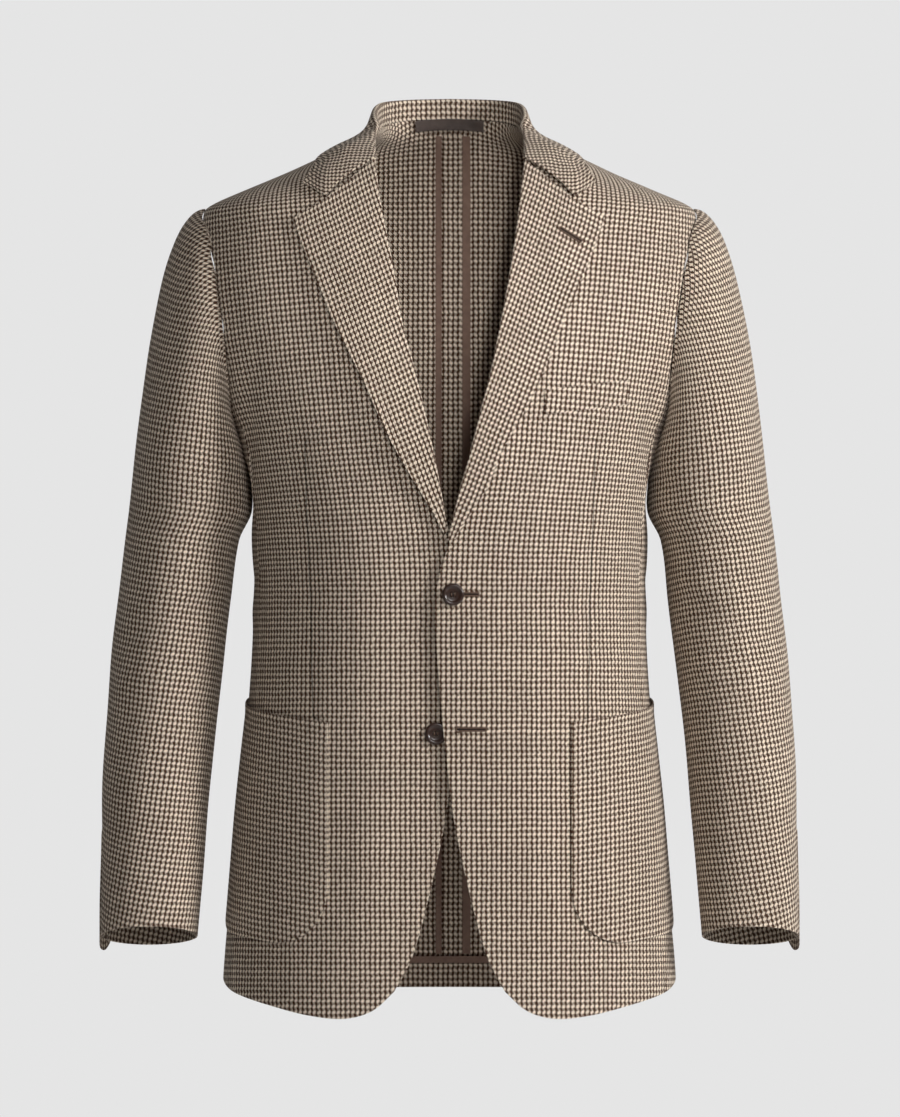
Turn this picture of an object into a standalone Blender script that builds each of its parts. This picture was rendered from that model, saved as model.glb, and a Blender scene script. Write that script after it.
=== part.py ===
"""Single-breasted, two-button blazer, filled out as if worn and empty inside.

Metres, +Z up. The garment faces -Y and the wearer's left is +X. The origin is at the base of the
neck, in the middle of the neck opening, where the wearer's shoulders and neck carry the garment.

The torso is one surface, given by an angle round the body and a height: 0 degrees is the centre
front, 90 degrees the wearer's left side and shoulder seam, 180 degrees the centre back. Every
panel, lapel, pocket and tape is a piece of that surface, moved out or in.
"""

import math
from collections import namedtuple

import bmesh
import bpy
import numpy as np
from mathutils import Vector

# Driving dimensions
WALL = 0.0015  # cloth
SEAM_GAP = 0.0006  # between two pieces at a seam, on the outside; a wall bent over a curve is closer inside
SLEEVE_SEAM_GAP = 0.0011
LAYER_GAP = 0.0004  # between a piece and what lies on it
FRONT_POWER = 2.3  # how square a section is at the front and at the back
BACK_POWER = 2.7
MEAN_RADIUS = 0.19  # turns an angle into a length where a border is spaced out
SIDES = (("left", 1), ("right", -1))

Section = namedtuple("Section", "z half front back")
BODY = (
    Section(0.0400, 0.0660, 0.0450, 0.0765),
    Section(0.0205, 0.0662, 0.0460, 0.0790),
    Section(0.0040, 0.0680, 0.0500, 0.0860),
    Section(-0.0100, 0.1050, 0.0655, 0.0930),
    Section(-0.0310, 0.1515, 0.0835, 0.1010),
    Section(-0.0500, 0.1975, 0.0922, 0.1067),
    Section(-0.0550, 0.2085, 0.0944, 0.1081),
    Section(-0.0600, 0.2167, 0.0965, 0.1095),
    Section(-0.0650, 0.2201, 0.0984, 0.1107),
    Section(-0.0720, 0.2222, 0.1010, 0.1123),
    Section(-0.0880, 0.2261, 0.1066, 0.1153),
    Section(-0.1070, 0.2313, 0.1125, 0.1185),
    Section(-0.1440, 0.2320, 0.1205, 0.1220),
    Section(-0.1790, 0.2251, 0.1265, 0.1245),
    Section(-0.2130, 0.2125, 0.1308, 0.1250),
    Section(-0.2400, 0.2010, 0.1330, 0.1248),
    Section(-0.2620, 0.1905, 0.1345, 0.1240),
    Section(-0.3000, 0.1828, 0.1360, 0.1215),
    Section(-0.3450, 0.1780, 0.1355, 0.1165),
    Section(-0.4100, 0.1749, 0.1310, 0.1100),
    Section(-0.4600, 0.1762, 0.1280, 0.1095),
    Section(-0.5050, 0.1793, 0.1265, 0.1140),
    Section(-0.5480, 0.1835, 0.1265, 0.1200),
    Section(-0.5910, 0.1880, 0.1275, 0.1270),
    Section(-0.6340, 0.1920, 0.1290, 0.1330),
    Section(-0.6760, 0.1960, 0.1300, 0.1375),
    Section(-0.7190, 0.2000, 0.1310, 0.1405),
    Section(-0.7500, 0.2020, 0.1315, 0.1420),
    Section(-0.7850, 0.2025, 0.1320, 0.1430),
)

# Borders as (angle in degrees, height): the armhole, the neck seam and the hem.
ARMHOLE_FRONT = ((75.5, -0.232), (73.0, -0.213), (71.2, -0.179), (72.2, -0.144),
                 (75.4, -0.107), (80.7, -0.080), (90.0, -0.060))
ARMHOLE_UNDER = ((75.5, -0.232), (81.0, -0.252), (90.0, -0.262), (99.0, -0.248), (107.0, -0.212))
ARMHOLE_BACK = ((107.0, -0.212), (110.2, -0.180), (110.8, -0.144), (107.6, -0.107),
                (100.6, -0.080), (90.0, -0.060))
NECK_FRONT = ((50.0, -0.0225), (58.0, -0.0130), (70.0, -0.0050), (90.0, 0.0040))
NECK_BACK = ((90.0, 0.0040), (120.0, 0.0120), (150.0, 0.0185), (180.0, 0.0205))
HEM_FRONT = ((20.8, -0.7574), (28.3, -0.7743), (37.3, -0.7814), (48.4, -0.7788),
             (62.0, -0.7690), (75.5, -0.7588))
HEM_SIDE = ((75.5, -0.7588), (90.0, -0.7475), (105.0, -0.7510), (116.0, -0.7555))
HEM_BACK = ((116.0, -0.7555), (150.0, -0.7570), (180.0, -0.7570))
SIDE_SEAM = ((75.5, -0.7588), (75.5, -0.232))
BACK_SIDE_SEAM = ((116.0, -0.7555), (112.0, -0.4300), (107.0, -0.2120))

# The front edge, as x on the wearer's left: below zero it laps over the other front.
EdgePoint = namedtuple("EdgePoint", "x z")
FRONT_EDGE = (
    EdgePoint(0.0494, -0.7574), EdgePoint(0.0334, -0.7271), EdgePoint(0.0174, -0.6693),
    EdgePoint(0.0035, -0.6034), EdgePoint(-0.0040, -0.5420), EdgePoint(-0.0093, -0.4868),
    EdgePoint(-0.0125, -0.4400), EdgePoint(-0.0130, -0.4100), EdgePoint(-0.0085, -0.3836),
    EdgePoint(-0.0040, -0.3700),
)

# Each lapel from its break above the top button to the gorge, read off the front view.
LapelRow = namedtuple("LapelRow", "z roll_left roll_right")
ROLL_LINE = (
    LapelRow(-0.3580, -0.0016, 0.0005), LapelRow(-0.3390, 0.0011, 0.0030),
    LapelRow(-0.2955, 0.0134, 0.0104), LapelRow(-0.2474, 0.0254, 0.0206),
    LapelRow(-0.2136, 0.0344, 0.0282), LapelRow(-0.1664, 0.0442, 0.0409),
    LapelRow(-0.1030, 0.0556, 0.0516), LapelRow(-0.0670, 0.0602, 0.0592),
    LapelRow(-0.0312, 0.0653, 0.0648), LapelRow(-0.0175, 0.0664, 0.0664),
)
LAPEL_EDGE = {
    "left": ((0.0016, -0.3600), (0.0160, -0.3364), (0.0325, -0.3115), (0.0458, -0.2790),
             (0.0596, -0.2545), (0.0767, -0.2225), (0.0926, -0.1842), (0.1081, -0.1460),
             (0.1242, -0.1077), (0.1380, -0.0690)),
    "right": ((0.0050, -0.3510), (0.0147, -0.3320), (0.0352, -0.2982), (0.0556, -0.2617),
              (0.0773, -0.2136), (0.1001, -0.1682), (0.1077, -0.1513), (0.1197, -0.1219),
              (0.1315, -0.0917), (0.1396, -0.0701)),
}
LAPEL_FOOT = {"left": -0.3570, "right": -0.3490}  # height where each roll line ends
NOTCH = (0.1115, -0.0525)
LAPEL_LIFT = {"left": 0.0012, "right": 0.0060}  # how far the outer edge stands off, halfway up
LAPEL_WALL = 0.0018
ROLL_RADIUS = 0.0024
LAPEL_OUT = 0.0046  # outer face of the lapel above the front

# The collar by steps from the centre back (0) to the gorge (1): its fold, the middle of the leaf
# and the leaf's edge, as angles in degrees and heights.
CollarRow = namedtuple("CollarRow", "step fold fold_z seam_z mid mid_z edge edge_z")
COLLAR = (
    CollarRow(0.00, 180.0, 0.0360, 0.0205, 180.0, 0.0080, 180.0, -0.0110),
    CollarRow(0.20, 150.0, 0.0348, 0.0185, 151.0, 0.0050, 152.0, -0.0110),
    CollarRow(0.40, 120.0, 0.0310, 0.0120, 122.0, 0.0005, 125.0, -0.0105),
    CollarRow(0.60, 90.0, 0.0220, 0.0040, 92.0, -0.0010, 93.0, -0.0075),
    CollarRow(0.74, 72.0, 0.0090, -0.0042, 73.0, -0.0125, 73.0, -0.0210),
    CollarRow(0.87, 59.0, -0.0035, -0.0124, 61.0, -0.0290, 66.8, -0.0305),
    CollarRow(1.00, 47.5, -0.0165, -0.0225, 53.4, -0.0515, 63.6, -0.0398),
)
COLLAR_WALL = 0.0018
COLLAR_OUT = 0.0052  # outer face of the leaf above the shoulder
COLLAR_RIM = 0.0036  # and at the edge of the leaf
FOLD_HALF = 0.0026
STAND_GAP = 0.0010  # foot of the stand above the neck edge of the panels

# Sleeve rings from the upper arm to the cuff: x of the centre, half width, y of the centre, half
# depth, and how far the ring leans, as rise for each metre forward.
Ring = namedtuple("Ring", "z centre half centre_y half_y lean")
SLEEVE = (
    Ring(-0.300, 0.2365, 0.0465, 0.002, 0.068, 0.00),
    Ring(-0.356, 0.2381, 0.0514, 0.002, 0.065, 0.02),
    Ring(-0.409, 0.2453, 0.0503, 0.001, 0.062, 0.05),
    Ring(-0.463, 0.2519, 0.0503, -0.001, 0.059, 0.08),
    Ring(-0.516, 0.2568, 0.0490, -0.006, 0.056, 0.11),
    Ring(-0.570, 0.2612, 0.0481, -0.014, 0.052, 0.14),
    Ring(-0.623, 0.2635, 0.0460, -0.023, 0.048, 0.17),
    Ring(-0.676, 0.2664, 0.0445, -0.033, 0.044, 0.20),
    Ring(-0.709, 0.2678, 0.0432, -0.039, 0.0415, 0.21),
)
CAP_OUT = 0.11  # how strongly the sleeve head leaves the armhole, at the top
CAP_OUT_UNDER = 0.025  # and under the arm
HINDSEAM_CUFF = -22.0  # where the back seam meets the cuff; 0 is outermost, 90 the front
VENT_TURNS = (-37.0, 4.0)
VENT_LENGTH = 0.095
VENT_DROP = 0.0095  # how far its rounded corner hangs below the cuff

# Overlap of the fronts: the wearer's right front passes inside by this much at the centre.
Lap = namedtuple("Lap", "z depth")
UNDERLAP = (Lap(-0.24, 0.0), Lap(-0.30, 0.0012), Lap(-0.34, 0.0036), Lap(-0.37, 0.0058),
            Lap(-0.42, 0.0068), Lap(-0.60, 0.0068), Lap(-0.66, 0.0055), Lap(-0.79, 0.0035))
UNDERLAP_START = -0.085  # x where the right front starts to sink
UNDERLAP_FULL = -0.022

POCKET_WIDTH = 0.172
POCKET_INNER = 0.108  # x of the inner side edge
POCKET_TOP_INNER = -0.5183
POCKET_TOP_OUTER = -0.4960
POCKET_FOOT_INNER = -0.7205
POCKET_FOOT_OUTER = -0.6990
POCKET_CORNER = 0.055
POCKET_BULGE = 0.0026

WELT = ((0.0850, -0.2225), (0.1590, -0.2136))  # top edge of the breast pocket welt
WELT_HEIGHT = 0.022

TAPE_EDGES = (-0.0129, -0.0067, 0.0111, 0.0191)  # x of tape, allowance, allowance, tape inside the back
TAPE_FOOT = -0.7270
HEM_TURN = 0.0215
HEM_TAPE = 0.0070
HEM_BAND_REACH = 62.0  # degrees either side of the centre back
STRIP_WALL = 0.0010
STRIP_GAP = 0.0010  # between a flat strip and the curved cloth that it lies on

LOOP_HALF = 0.032
LOOP_TOP = 0.0193
LOOP_WIDTH = 0.0090
LOOP_WALL = 0.0010
LOOP_SAG = 0.0024
LOOP_SLACK = 0.0012

BUTTON_RADIUS = 0.0100
BUTTON_THICK = 0.0032
BUTTON_HOLE = 0.0011
BUTTON_HOLE_OUT = 0.0021
BUTTON_OFF = 0.0006
BUTTON_SIDES = 24
TOP_BUTTON = (0.0031, -0.4044)
LOWER_BUTTON = (-0.0138, -0.5280)


def spline(knots, values, at):
    """Smooth curve through the values, read at one place. The knots rise."""
    knots = np.asarray(knots, float)
    values = np.asarray(values, float)
    i = int(np.clip(np.searchsorted(knots, at) - 1, 0, len(knots) - 2))

    def slope(k):
        low, high = max(k - 1, 0), min(k + 1, len(knots) - 1)
        return (values[high] - values[low]) / (knots[high] - knots[low])

    width = knots[i + 1] - knots[i]
    t = float(np.clip((at - knots[i]) / width, 0.0, 1.0))
    return (
        (2 * t**3 - 3 * t**2 + 1) * values[i]
        + (t**3 - 2 * t**2 + t) * width * slope(i)
        + (3 * t**2 - 2 * t**3) * values[i + 1]
        + (t**3 - t**2) * width * slope(i + 1)
    )


def column(table, name, at, key="z"):
    """One column of a table, read smoothly at a value of its key column."""
    rows = sorted(table, key=lambda row: getattr(row, key))
    return spline([getattr(r, key) for r in rows], [getattr(r, name) for r in rows], at)


def ease(value):
    """From 0 to 1 with level ends."""
    value = min(max(value, 0.0), 1.0)
    return value * value * (3 - 2 * value)


def radius(angle, z):
    """Distance from the axis to the torso, at an angle in radians and a height."""
    half = column(BODY, "half", z)
    front = math.cos(angle) > 0
    depth = column(BODY, "front" if front else "back", z)
    power = FRONT_POWER if front else BACK_POWER
    total = abs(math.sin(angle) / half) ** power + abs(math.cos(angle) / depth) ** power
    return total ** (-1 / power)


def on_body(angle, z, out=0.0):
    """Point of the torso surface, moved out along its normal."""
    def place(a, h):
        r = radius(a, h)
        return np.array((r * math.sin(a), -r * math.cos(a), h))

    point = place(angle, z)
    if out == 0.0:
        return point
    step = 0.004
    round_body = place(angle + step, z) - place(angle - step, z)
    up_body = place(angle, z + step / 2) - place(angle, z - step / 2)
    normal = np.cross(round_body, up_body)
    return point + out * normal / np.linalg.norm(normal)


def angle_at(x, z):
    """Angle, in radians, of the front point with this x at this height."""
    share = min(abs(x) / column(BODY, "half", z), 0.9999)
    depth = column(BODY, "front", z) * (1 - share**FRONT_POWER) ** (1 / FRONT_POWER)
    return math.atan2(x, depth)


def sunk(point, side):
    """A point of the right front goes in under the left one near the centre."""
    if side > 0 or point[1] > 0:
        return point
    share = ease((point[0] - UNDERLAP_START) / (UNDERLAP_FULL - UNDERLAP_START))
    depth = column(UNDERLAP, "depth", point[2])
    return point + np.array((0.0, share * depth, 0.0))


def domain(points):
    """(angle in degrees, height) pairs as (angle in radians, height)."""
    return [(math.radians(a), z) for a, z in points]


def from_front(points):
    """(x, height) pairs of the front view as (angle in radians, height)."""
    return [(angle_at(x, z), z) for x, z in points]


def border(*parts):
    """Evenly spaced points along smooth runs of (angle, height), each run given with its number of steps."""
    made = []
    for points, steps in parts:
        points = np.array(points, float)
        lengths = np.linalg.norm(np.diff(points * (MEAN_RADIUS, 1.0), axis=0), axis=1)
        knots = np.concatenate(([0.0], np.cumsum(lengths)))
        for k in range(0 if not made else 1, steps + 1):
            made.append(spline(knots, points, knots[-1] * k / steps))
    return np.array(made)


def patch(bottom, top, left, right):
    """Fills four borders with a grid of (angle, height), rows from the bottom up."""
    rows, columns = len(left), len(bottom)
    grid = np.empty((rows, columns, 2))
    for j in range(rows):
        t = j / (rows - 1)
        for i in range(columns):
            s = i / (columns - 1)
            corners = (1 - t) * ((1 - s) * bottom[0] + s * bottom[-1])
            corners = corners + t * ((1 - s) * top[0] + s * top[-1])
            across = (1 - t) * bottom[i] + t * top[i]
            grid[j, i] = across + (1 - s) * left[j] + s * right[j] - corners
    return grid


def drawn_in(points, gap):
    """Moves the border of a grid of points in by a gap, towards the next row or column."""
    moved = points.copy()

    def pull(edge, inner):
        away = inner - edge
        length = np.linalg.norm(away, axis=-1, keepdims=True)
        return edge + away / np.maximum(length, 1e-9) * gap

    moved[0] = pull(moved[0], points[1])
    moved[-1] = pull(moved[-1], points[-2])
    moved[:, 0] = pull(moved[:, 0], moved[:, 1])
    moved[:, -1] = pull(moved[:, -1], moved[:, -2])
    return moved


def material(name, colour, roughness):
    made = bpy.data.materials.get(name)
    if made:
        return made
    made = bpy.data.materials.new(name)
    made.use_nodes = True
    shader = made.node_tree.nodes["Principled BSDF"]
    shader.inputs["Base Color"].default_value = (*colour, 1.0)
    shader.inputs["Roughness"].default_value = roughness
    return made


CLOTH = ("checked cloth", (0.30, 0.23, 0.18), 0.9)
TAPE = ("binding tape", (0.075, 0.055, 0.043), 0.7)
SATIN = ("loop satin", (0.05, 0.035, 0.028), 0.45)
HORN = ("horn", (0.035, 0.016, 0.010), 0.25)


def collection():
    made = bpy.data.collections.get("blazer")
    if not made:
        made = bpy.data.collections.new("blazer")
        bpy.context.scene.collection.children.link(made)
    return made


def cutters():
    made = bpy.data.collections.get("cutters")
    if not made:
        made = bpy.data.collections.new("cutters")
        bpy.context.scene.collection.children.link(made)
    return made


def add_object(name, mesh, finish):
    made = bpy.data.objects.new(name, mesh)
    made.data.materials.append(material(*finish))
    collection().objects.link(made)
    return made


def shell(name, points, wall, finish, behind=None, at=None):
    """A sheet through a grid of points, thickened towards a point behind it or the body's axis."""
    rows, columns = points.shape[:2]
    mesh = bpy.data.meshes.new(name)
    sheet = bmesh.new()
    bmesh.ops.create_grid(sheet, x_segments=columns - 1, y_segments=rows - 1, size=0.5)
    for vertex in sheet.verts:
        i = round((vertex.co.x + 0.5) * (columns - 1))
        j = round((vertex.co.y + 0.5) * (rows - 1))
        vertex.co = points[j, i]
    sheet.normal_update()
    middle = points[at or (rows // 2, columns // 2)]
    nearest = min(sheet.faces, key=lambda f: np.linalg.norm(np.array(f.calc_center_median()) - middle))
    if behind is None:
        behind = np.array((0.0, 0.0, middle[2]))
    if np.dot(nearest.normal, middle - behind) < 0:
        bmesh.ops.reverse_faces(sheet, faces=sheet.faces)
    sheet.to_mesh(mesh)
    sheet.free()
    mesh.shade_smooth()
    made = add_object(name, mesh, finish)
    thick = made.modifiers.new("wall", "SOLIDIFY")
    thick.thickness = wall
    thick.offset = -1.0
    return made


def mirrored(points, side):
    """The same points on the wearer's other side when side is -1."""
    return points * np.array((side, 1.0, 1.0))


SEAM_ROWS = 14  # rows of a panel below the armhole
FRONT_ROWS, UNDER_STEPS, BACK_ROWS = 9, 5, 8  # steps round the armhole
SHOULDER_ROWS = 6  # rows of the back along the shoulder seam
FORESEAM_STEP, HINDSEAM_STEP = 11, 18  # steps of the armhole where the sleeve seams start
HEAD_ROWS, ARM_ROWS = 7, 13


def front(name, side):
    roll = "roll_left" if side > 0 else "roll_right"
    panel_edge = ROLL_RADIUS + 0.0010
    foot = LAPEL_FOOT[name]
    line = [(column(ROLL_LINE, roll, z) + panel_edge, z)
            for z in np.linspace(foot + 0.010, -0.0312, 9)]
    edge = from_front([(p.x, p.z) for p in FRONT_EDGE])
    roll_line = from_front(line)
    split = 4  # points of the roll line that belong to the rows below the armhole
    below = edge + roll_line[:split]
    above = roll_line[split - 1:] + domain(NECK_FRONT)
    grid = patch(
        border((domain(HEM_FRONT), 12)),
        border((domain([(90.0, 0.0040), (90.0, -0.060)]), 12)),
        border((below, SEAM_ROWS), (above, FRONT_ROWS)),
        border((domain(SIDE_SEAM), SEAM_ROWS), (domain(ARMHOLE_FRONT), FRONT_ROWS)),
    )
    points = np.array([[on_body(a, z) for a, z in row] for row in grid])
    points = mirrored(points, side)
    points = np.array([[sunk(p, side) for p in row] for row in points])
    return shell(f"front_{name}", drawn_in(points, SEAM_GAP / 2), WALL, CLOTH)


def side_body(name, side):
    grid = patch(
        border((domain(HEM_SIDE), UNDER_STEPS)),
        border((domain(ARMHOLE_UNDER), UNDER_STEPS)),
        border((domain(SIDE_SEAM), SEAM_ROWS)),
        border((domain(BACK_SIDE_SEAM), SEAM_ROWS)),
    )
    points = mirrored(np.array([[on_body(a, z) for a, z in row] for row in grid]), side)
    return shell(f"side_{name}", drawn_in(points, SEAM_GAP / 2), WALL, CLOTH)


def back(name, side):
    grid = patch(
        border((domain(HEM_BACK[::-1]), 12)),
        border((domain(NECK_BACK[::-1]), 12)),
        border((domain([(180.0, -0.7570), (180.0, -0.2120)]), SEAM_ROWS),
               (domain([(180.0, -0.2120), (180.0, -0.0500)]), BACK_ROWS),
               (domain([(180.0, -0.0500), (180.0, 0.0205)]), SHOULDER_ROWS)),
        border((domain(BACK_SIDE_SEAM), SEAM_ROWS), (domain(ARMHOLE_BACK), BACK_ROWS),
               (domain([(90.0, -0.060), (90.0, 0.0040)]), SHOULDER_ROWS)),
    )
    points = mirrored(np.array([[on_body(a, z) for a, z in row] for row in grid]), side)
    return shell(f"back_{name}", drawn_in(points, SEAM_GAP / 2), WALL, CLOTH)


def front_point(x, z, out, side=1):
    """The front-view point (x, z) on a layer that lies this far above the front."""
    base_x, base_z = x, z
    for _ in range(4):
        point = on_body(angle_at(base_x, base_z), base_z, out)
        base_x += x - point[0]
        base_z += z - point[2]
    return sunk(mirrored(point, side), side)


def lapel(name, side):
    """The facing turned out: it curls round the roll line and lies back over the front."""
    roll = "roll_left" if side > 0 else "roll_right"
    rows, columns = 16, 6
    foot, gorge = LAPEL_FOOT[name], -0.0170
    line = [(column(ROLL_LINE, roll, z), z) for z in np.linspace(foot, gorge, 10)]
    edge = LAPEL_EDGE[name]
    grid = patch(
        border(([line[0], edge[0]], columns)),
        border(([line[-1], NOTCH], 4), ([NOTCH, edge[-1]], 2)),
        border((line, rows)),
        border((edge, rows)),
    )
    points = np.empty((rows + 1, columns + 3, 3))
    for j, row in enumerate(grid):
        t = j / rows
        lift = LAPEL_LIFT[name] * math.sin(math.pi * min(t * 1.15, 1.0))
        x, z = row[0]
        curl = ROLL_RADIUS * ease(0.35 + 3 * t)
        points[j, 0] = front_point(x + curl * 0.9, z, -0.0006, side)
        points[j, 1] = front_point(x, z, 0.45 * LAPEL_OUT, side)
        for i, (x, z) in enumerate(row):
            w = i / columns
            x = x + curl * 0.5 * (1 - w) ** 8
            points[j, i + 2] = front_point(x, z, LAPEL_OUT + lift * w**1.5, side)
    return shell(f"lapel_{name}", drawn_in(points, SEAM_GAP), LAPEL_WALL, CLOTH)


def clear_of_body(point, clearance):
    """Pushes a point outwards until it is clear of the torso."""
    x, y, z = point
    angle, distance = math.atan2(x, -y), math.hypot(x, y)
    slope = (radius(angle, z + 0.002) - radius(angle, z - 0.002)) / 0.004
    tilt = math.hypot(1.0, slope)
    short = clearance * tilt - (distance - radius(angle, z))
    if short > 0:
        distance += short
    return np.array((distance * math.sin(angle), -distance * math.cos(angle), z))


def collar_row(step):
    """Points across the collar, from the neck seam up the stand, over the fold and down the leaf."""
    row = CollarRow(step, *(column(COLLAR, name, step, "step") for name in CollarRow._fields[1:]))
    fold, mid, edge = (math.radians(a) for a in (row.fold, row.mid, row.edge))
    tall = row.fold_z - row.seam_z
    curl = min(0.0035, 0.45 * tall)
    inner = -WALL
    out = FOLD_HALF * 2 - WALL
    over = on_body(fold, row.fold_z - curl, out + 0.0006)
    middle = on_body(mid, row.mid_z, COLLAR_OUT + 0.0008)
    rim = on_body(edge, row.edge_z, COLLAR_RIM)
    points = [
        on_body(fold, row.seam_z + STAND_GAP, inner),
        on_body(fold, row.seam_z + 0.5 * (tall - curl), inner),
        on_body(fold, row.fold_z - curl, inner),
        on_body(fold, row.fold_z - 0.25 * curl, inner + 0.35 * FOLD_HALF),
        on_body(fold, row.fold_z, inner + FOLD_HALF),
        on_body(fold, row.fold_z - 0.25 * curl, out - 0.35 * FOLD_HALF),
        over,
        clear_of_body(over * 0.67 + middle * 0.33, COLLAR_OUT + 0.0012),
        clear_of_body(over * 0.33 + middle * 0.67, COLLAR_OUT + 0.0012),
        middle,
        clear_of_body(middle * 0.5 + rim * 0.5, 0.5 * (COLLAR_OUT + COLLAR_RIM)),
        rim,
    ]
    return np.array(points)


def collar():
    steps = [-1.0 + k / 13 for k in range(27)]
    rows = [mirrored(collar_row(abs(s)), 1 if s >= 0 else -1) for s in steps]
    points = np.array(rows).transpose(1, 0, 2)
    made = drawn_in(points, SEAM_GAP / 2)
    centre = len(steps) // 2
    behind = points[9, centre] - np.array((0.0, 0.02, 0.0))
    return shell("collar", made, COLLAR_WALL, CLOTH, behind, at=(9, centre))


def armhole_ring():
    """Points round the armhole, with their angles: down the front, under the arm, up the back."""
    ring = border((domain(ARMHOLE_FRONT[::-1]), FRONT_ROWS), (domain(ARMHOLE_UNDER), UNDER_STEPS),
                  (domain(ARMHOLE_BACK), BACK_ROWS))
    points = np.array([on_body(a, z) for a, z in ring])
    low, high = points[:, 2].min(), points[:, 2].max()
    middle_z = (low + high) / 2
    turns = np.degrees(np.arctan2(-points[:, 1], points[:, 2] - middle_z))
    turns = np.where(np.arange(len(turns)) > FRONT_ROWS, turns % 360.0, turns)
    turns[-1] = 360.0
    return points, turns


def ring_point(turn, z):
    """Point of the sleeve below its head. z is the height of the ring's centre."""
    row = {name: column(SLEEVE, name, z) for name in Ring._fields[1:]}
    turn = math.radians(turn)
    return np.array((
        row["centre"] + row["half"] * math.cos(turn),
        row["centre_y"] - row["half_y"] * math.sin(turn),
        z + row["lean"] * row["half_y"] * math.sin(turn),
    ))


def sleeve_axis(z):
    return np.array((column(SLEEVE, "centre", z), column(SLEEVE, "centre_y", z), z))


def head_point(start, turn, low_turn, t):
    """Point of the sleeve head, from the armhole (t = 0) to the first ring (t = 1)."""
    top = SLEEVE[0].z
    share = (1 + math.cos(math.radians(turn))) / 2
    out = np.array((1.0, -0.55 * math.sin(math.radians(turn)), 0.0))
    out /= np.linalg.norm(out)
    start = start + out * SEAM_GAP
    end = ring_point(low_turn, top)
    leave = out * (CAP_OUT_UNDER + (CAP_OUT - CAP_OUT_UNDER) * share)
    arrive = (end - ring_point(low_turn, top - 0.03)) / 0.03 * -1.25 * (start[2] - top)
    return (
        (2 * t**3 - 3 * t**2 + 1) * start
        + (t**3 - 2 * t**2 + t) * leave
        + (3 * t**2 - 2 * t**3) * end
        + (t**3 - t**2) * arrive
    )


def sleeve(name, side):
    points, turns = armhole_ring()
    fore, hind = FORESEAM_STEP, HINDSEAM_STEP
    count = len(points) - 1
    top_steps = list(range(hind, count)) + list(range(0, fore + 1))
    under_steps = list(range(fore, hind + 1))
    cuff = SLEEVE[-1].z

    def turn_of(k, upper):
        return turns[k] - 360.0 if upper and k >= hind else turns[k]

    def sheet(node, steps, upper):
        first, last = turn_of(steps[0], upper), turn_of(steps[-1], upper)
        rows = HEAD_ROWS + ARM_ROWS
        grid = np.empty((rows + 1, len(steps), 3))
        for i, k in enumerate(steps):
            share = (turn_of(k, upper) - first) / (last - first)
            for j in range(rows + 1):
                fall = max(j - HEAD_ROWS, 0) / ARM_ROWS
                hindseam = turns[hind] - 360.0 + (HINDSEAM_CUFF - turns[hind] + 360.0) * ease(fall)
                if upper:
                    turn = hindseam + (turns[fore] - hindseam) * share
                else:
                    turn = turns[fore] + (hindseam + 360.0 - turns[fore]) * share
                if j < HEAD_ROWS:
                    grid[j, i] = head_point(points[k], turn_of(k, upper), turn, (j / HEAD_ROWS) ** 1.15)
                else:
                    grid[j, i] = ring_point(turn, SLEEVE[0].z + (cuff - SLEEVE[0].z) * fall)
        made = drawn_in(grid, SLEEVE_SEAM_GAP / 2)
        middle_z = grid[(rows + 1) // 2, len(steps) // 2][2]
        behind = mirrored(sleeve_axis(middle_z), side)
        return shell(f"{node}_{name}", mirrored(made, side), WALL, CLOTH, behind)

    sheet("sleeve_top", top_steps, True)
    sheet("sleeve_under", under_steps, False)


def vent(name, side):
    """The turned edge of the cuff vent: a strip outside the sleeve, rounded below the cuff."""
    rows, columns = 8, 5
    cuff = SLEEVE[-1].z
    grid = np.empty((rows + 1, columns + 1, 3))
    for j in range(rows + 1):
        for i in range(columns + 1):
            w = i / columns
            drop = VENT_DROP * (1 - abs(2 * w - 1) ** 3)
            t = j / rows
            turn = VENT_TURNS[0] + (VENT_TURNS[1] - VENT_TURNS[0]) * w
            rise = VENT_LENGTH * t - drop * (1 - t) ** 3
            z = cuff + max(rise, 0.0)
            point, centre = ring_point(turn, z), ring_point(turn + 180.0, z)
            away = (point - centre) / np.linalg.norm(point - centre)
            point = point + away * (WALL + LAYER_GAP)
            grid[j, i] = point + np.array((0.0, 0.0, min(rise, 0.0)))
    behind = mirrored(sleeve_axis(grid[rows // 2, columns // 2][2]), side)
    return shell(f"vent_{name}", mirrored(grid, side), WALL, CLOTH, behind)


def angle_further(angle, z, length):
    """The angle reached by going this far round the section from an angle."""
    pieces = 60
    step = length / pieces
    for _ in range(pieces):
        here, ahead = on_body(angle, z), on_body(angle + 0.01, z)
        angle += 0.01 * step / np.linalg.norm(ahead - here)
    return angle


def pocket(name, side):
    """Patch pocket: it starts on the front and reaches round onto the side body."""
    rows, columns = 10, 10
    grid = np.empty((rows + 1, columns + 1, 3))
    for i in range(columns + 1):
        w = i / columns
        edge = min(w, 1 - w) * POCKET_WIDTH
        short = max(POCKET_CORNER - edge, 0.0)
        corner = POCKET_CORNER - math.sqrt(POCKET_CORNER**2 - short**2)
        top = POCKET_TOP_INNER + (POCKET_TOP_OUTER - POCKET_TOP_INNER) * w
        foot = POCKET_FOOT_INNER + (POCKET_FOOT_OUTER - POCKET_FOOT_INNER) * w + corner
        for j in range(rows + 1):
            v = j / rows
            z = foot + (top - foot) * v
            angle = angle_further(angle_at(POCKET_INNER, z), z, w * POCKET_WIDTH)
            bulge = POCKET_BULGE * math.sin(math.pi * w) * math.sin(math.pi * (0.15 + 0.7 * v))
            grid[j, i] = on_body(angle, z, WALL + LAYER_GAP + bulge)
    return shell(f"pocket_{name}", mirrored(grid, side), WALL, CLOTH)


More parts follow.
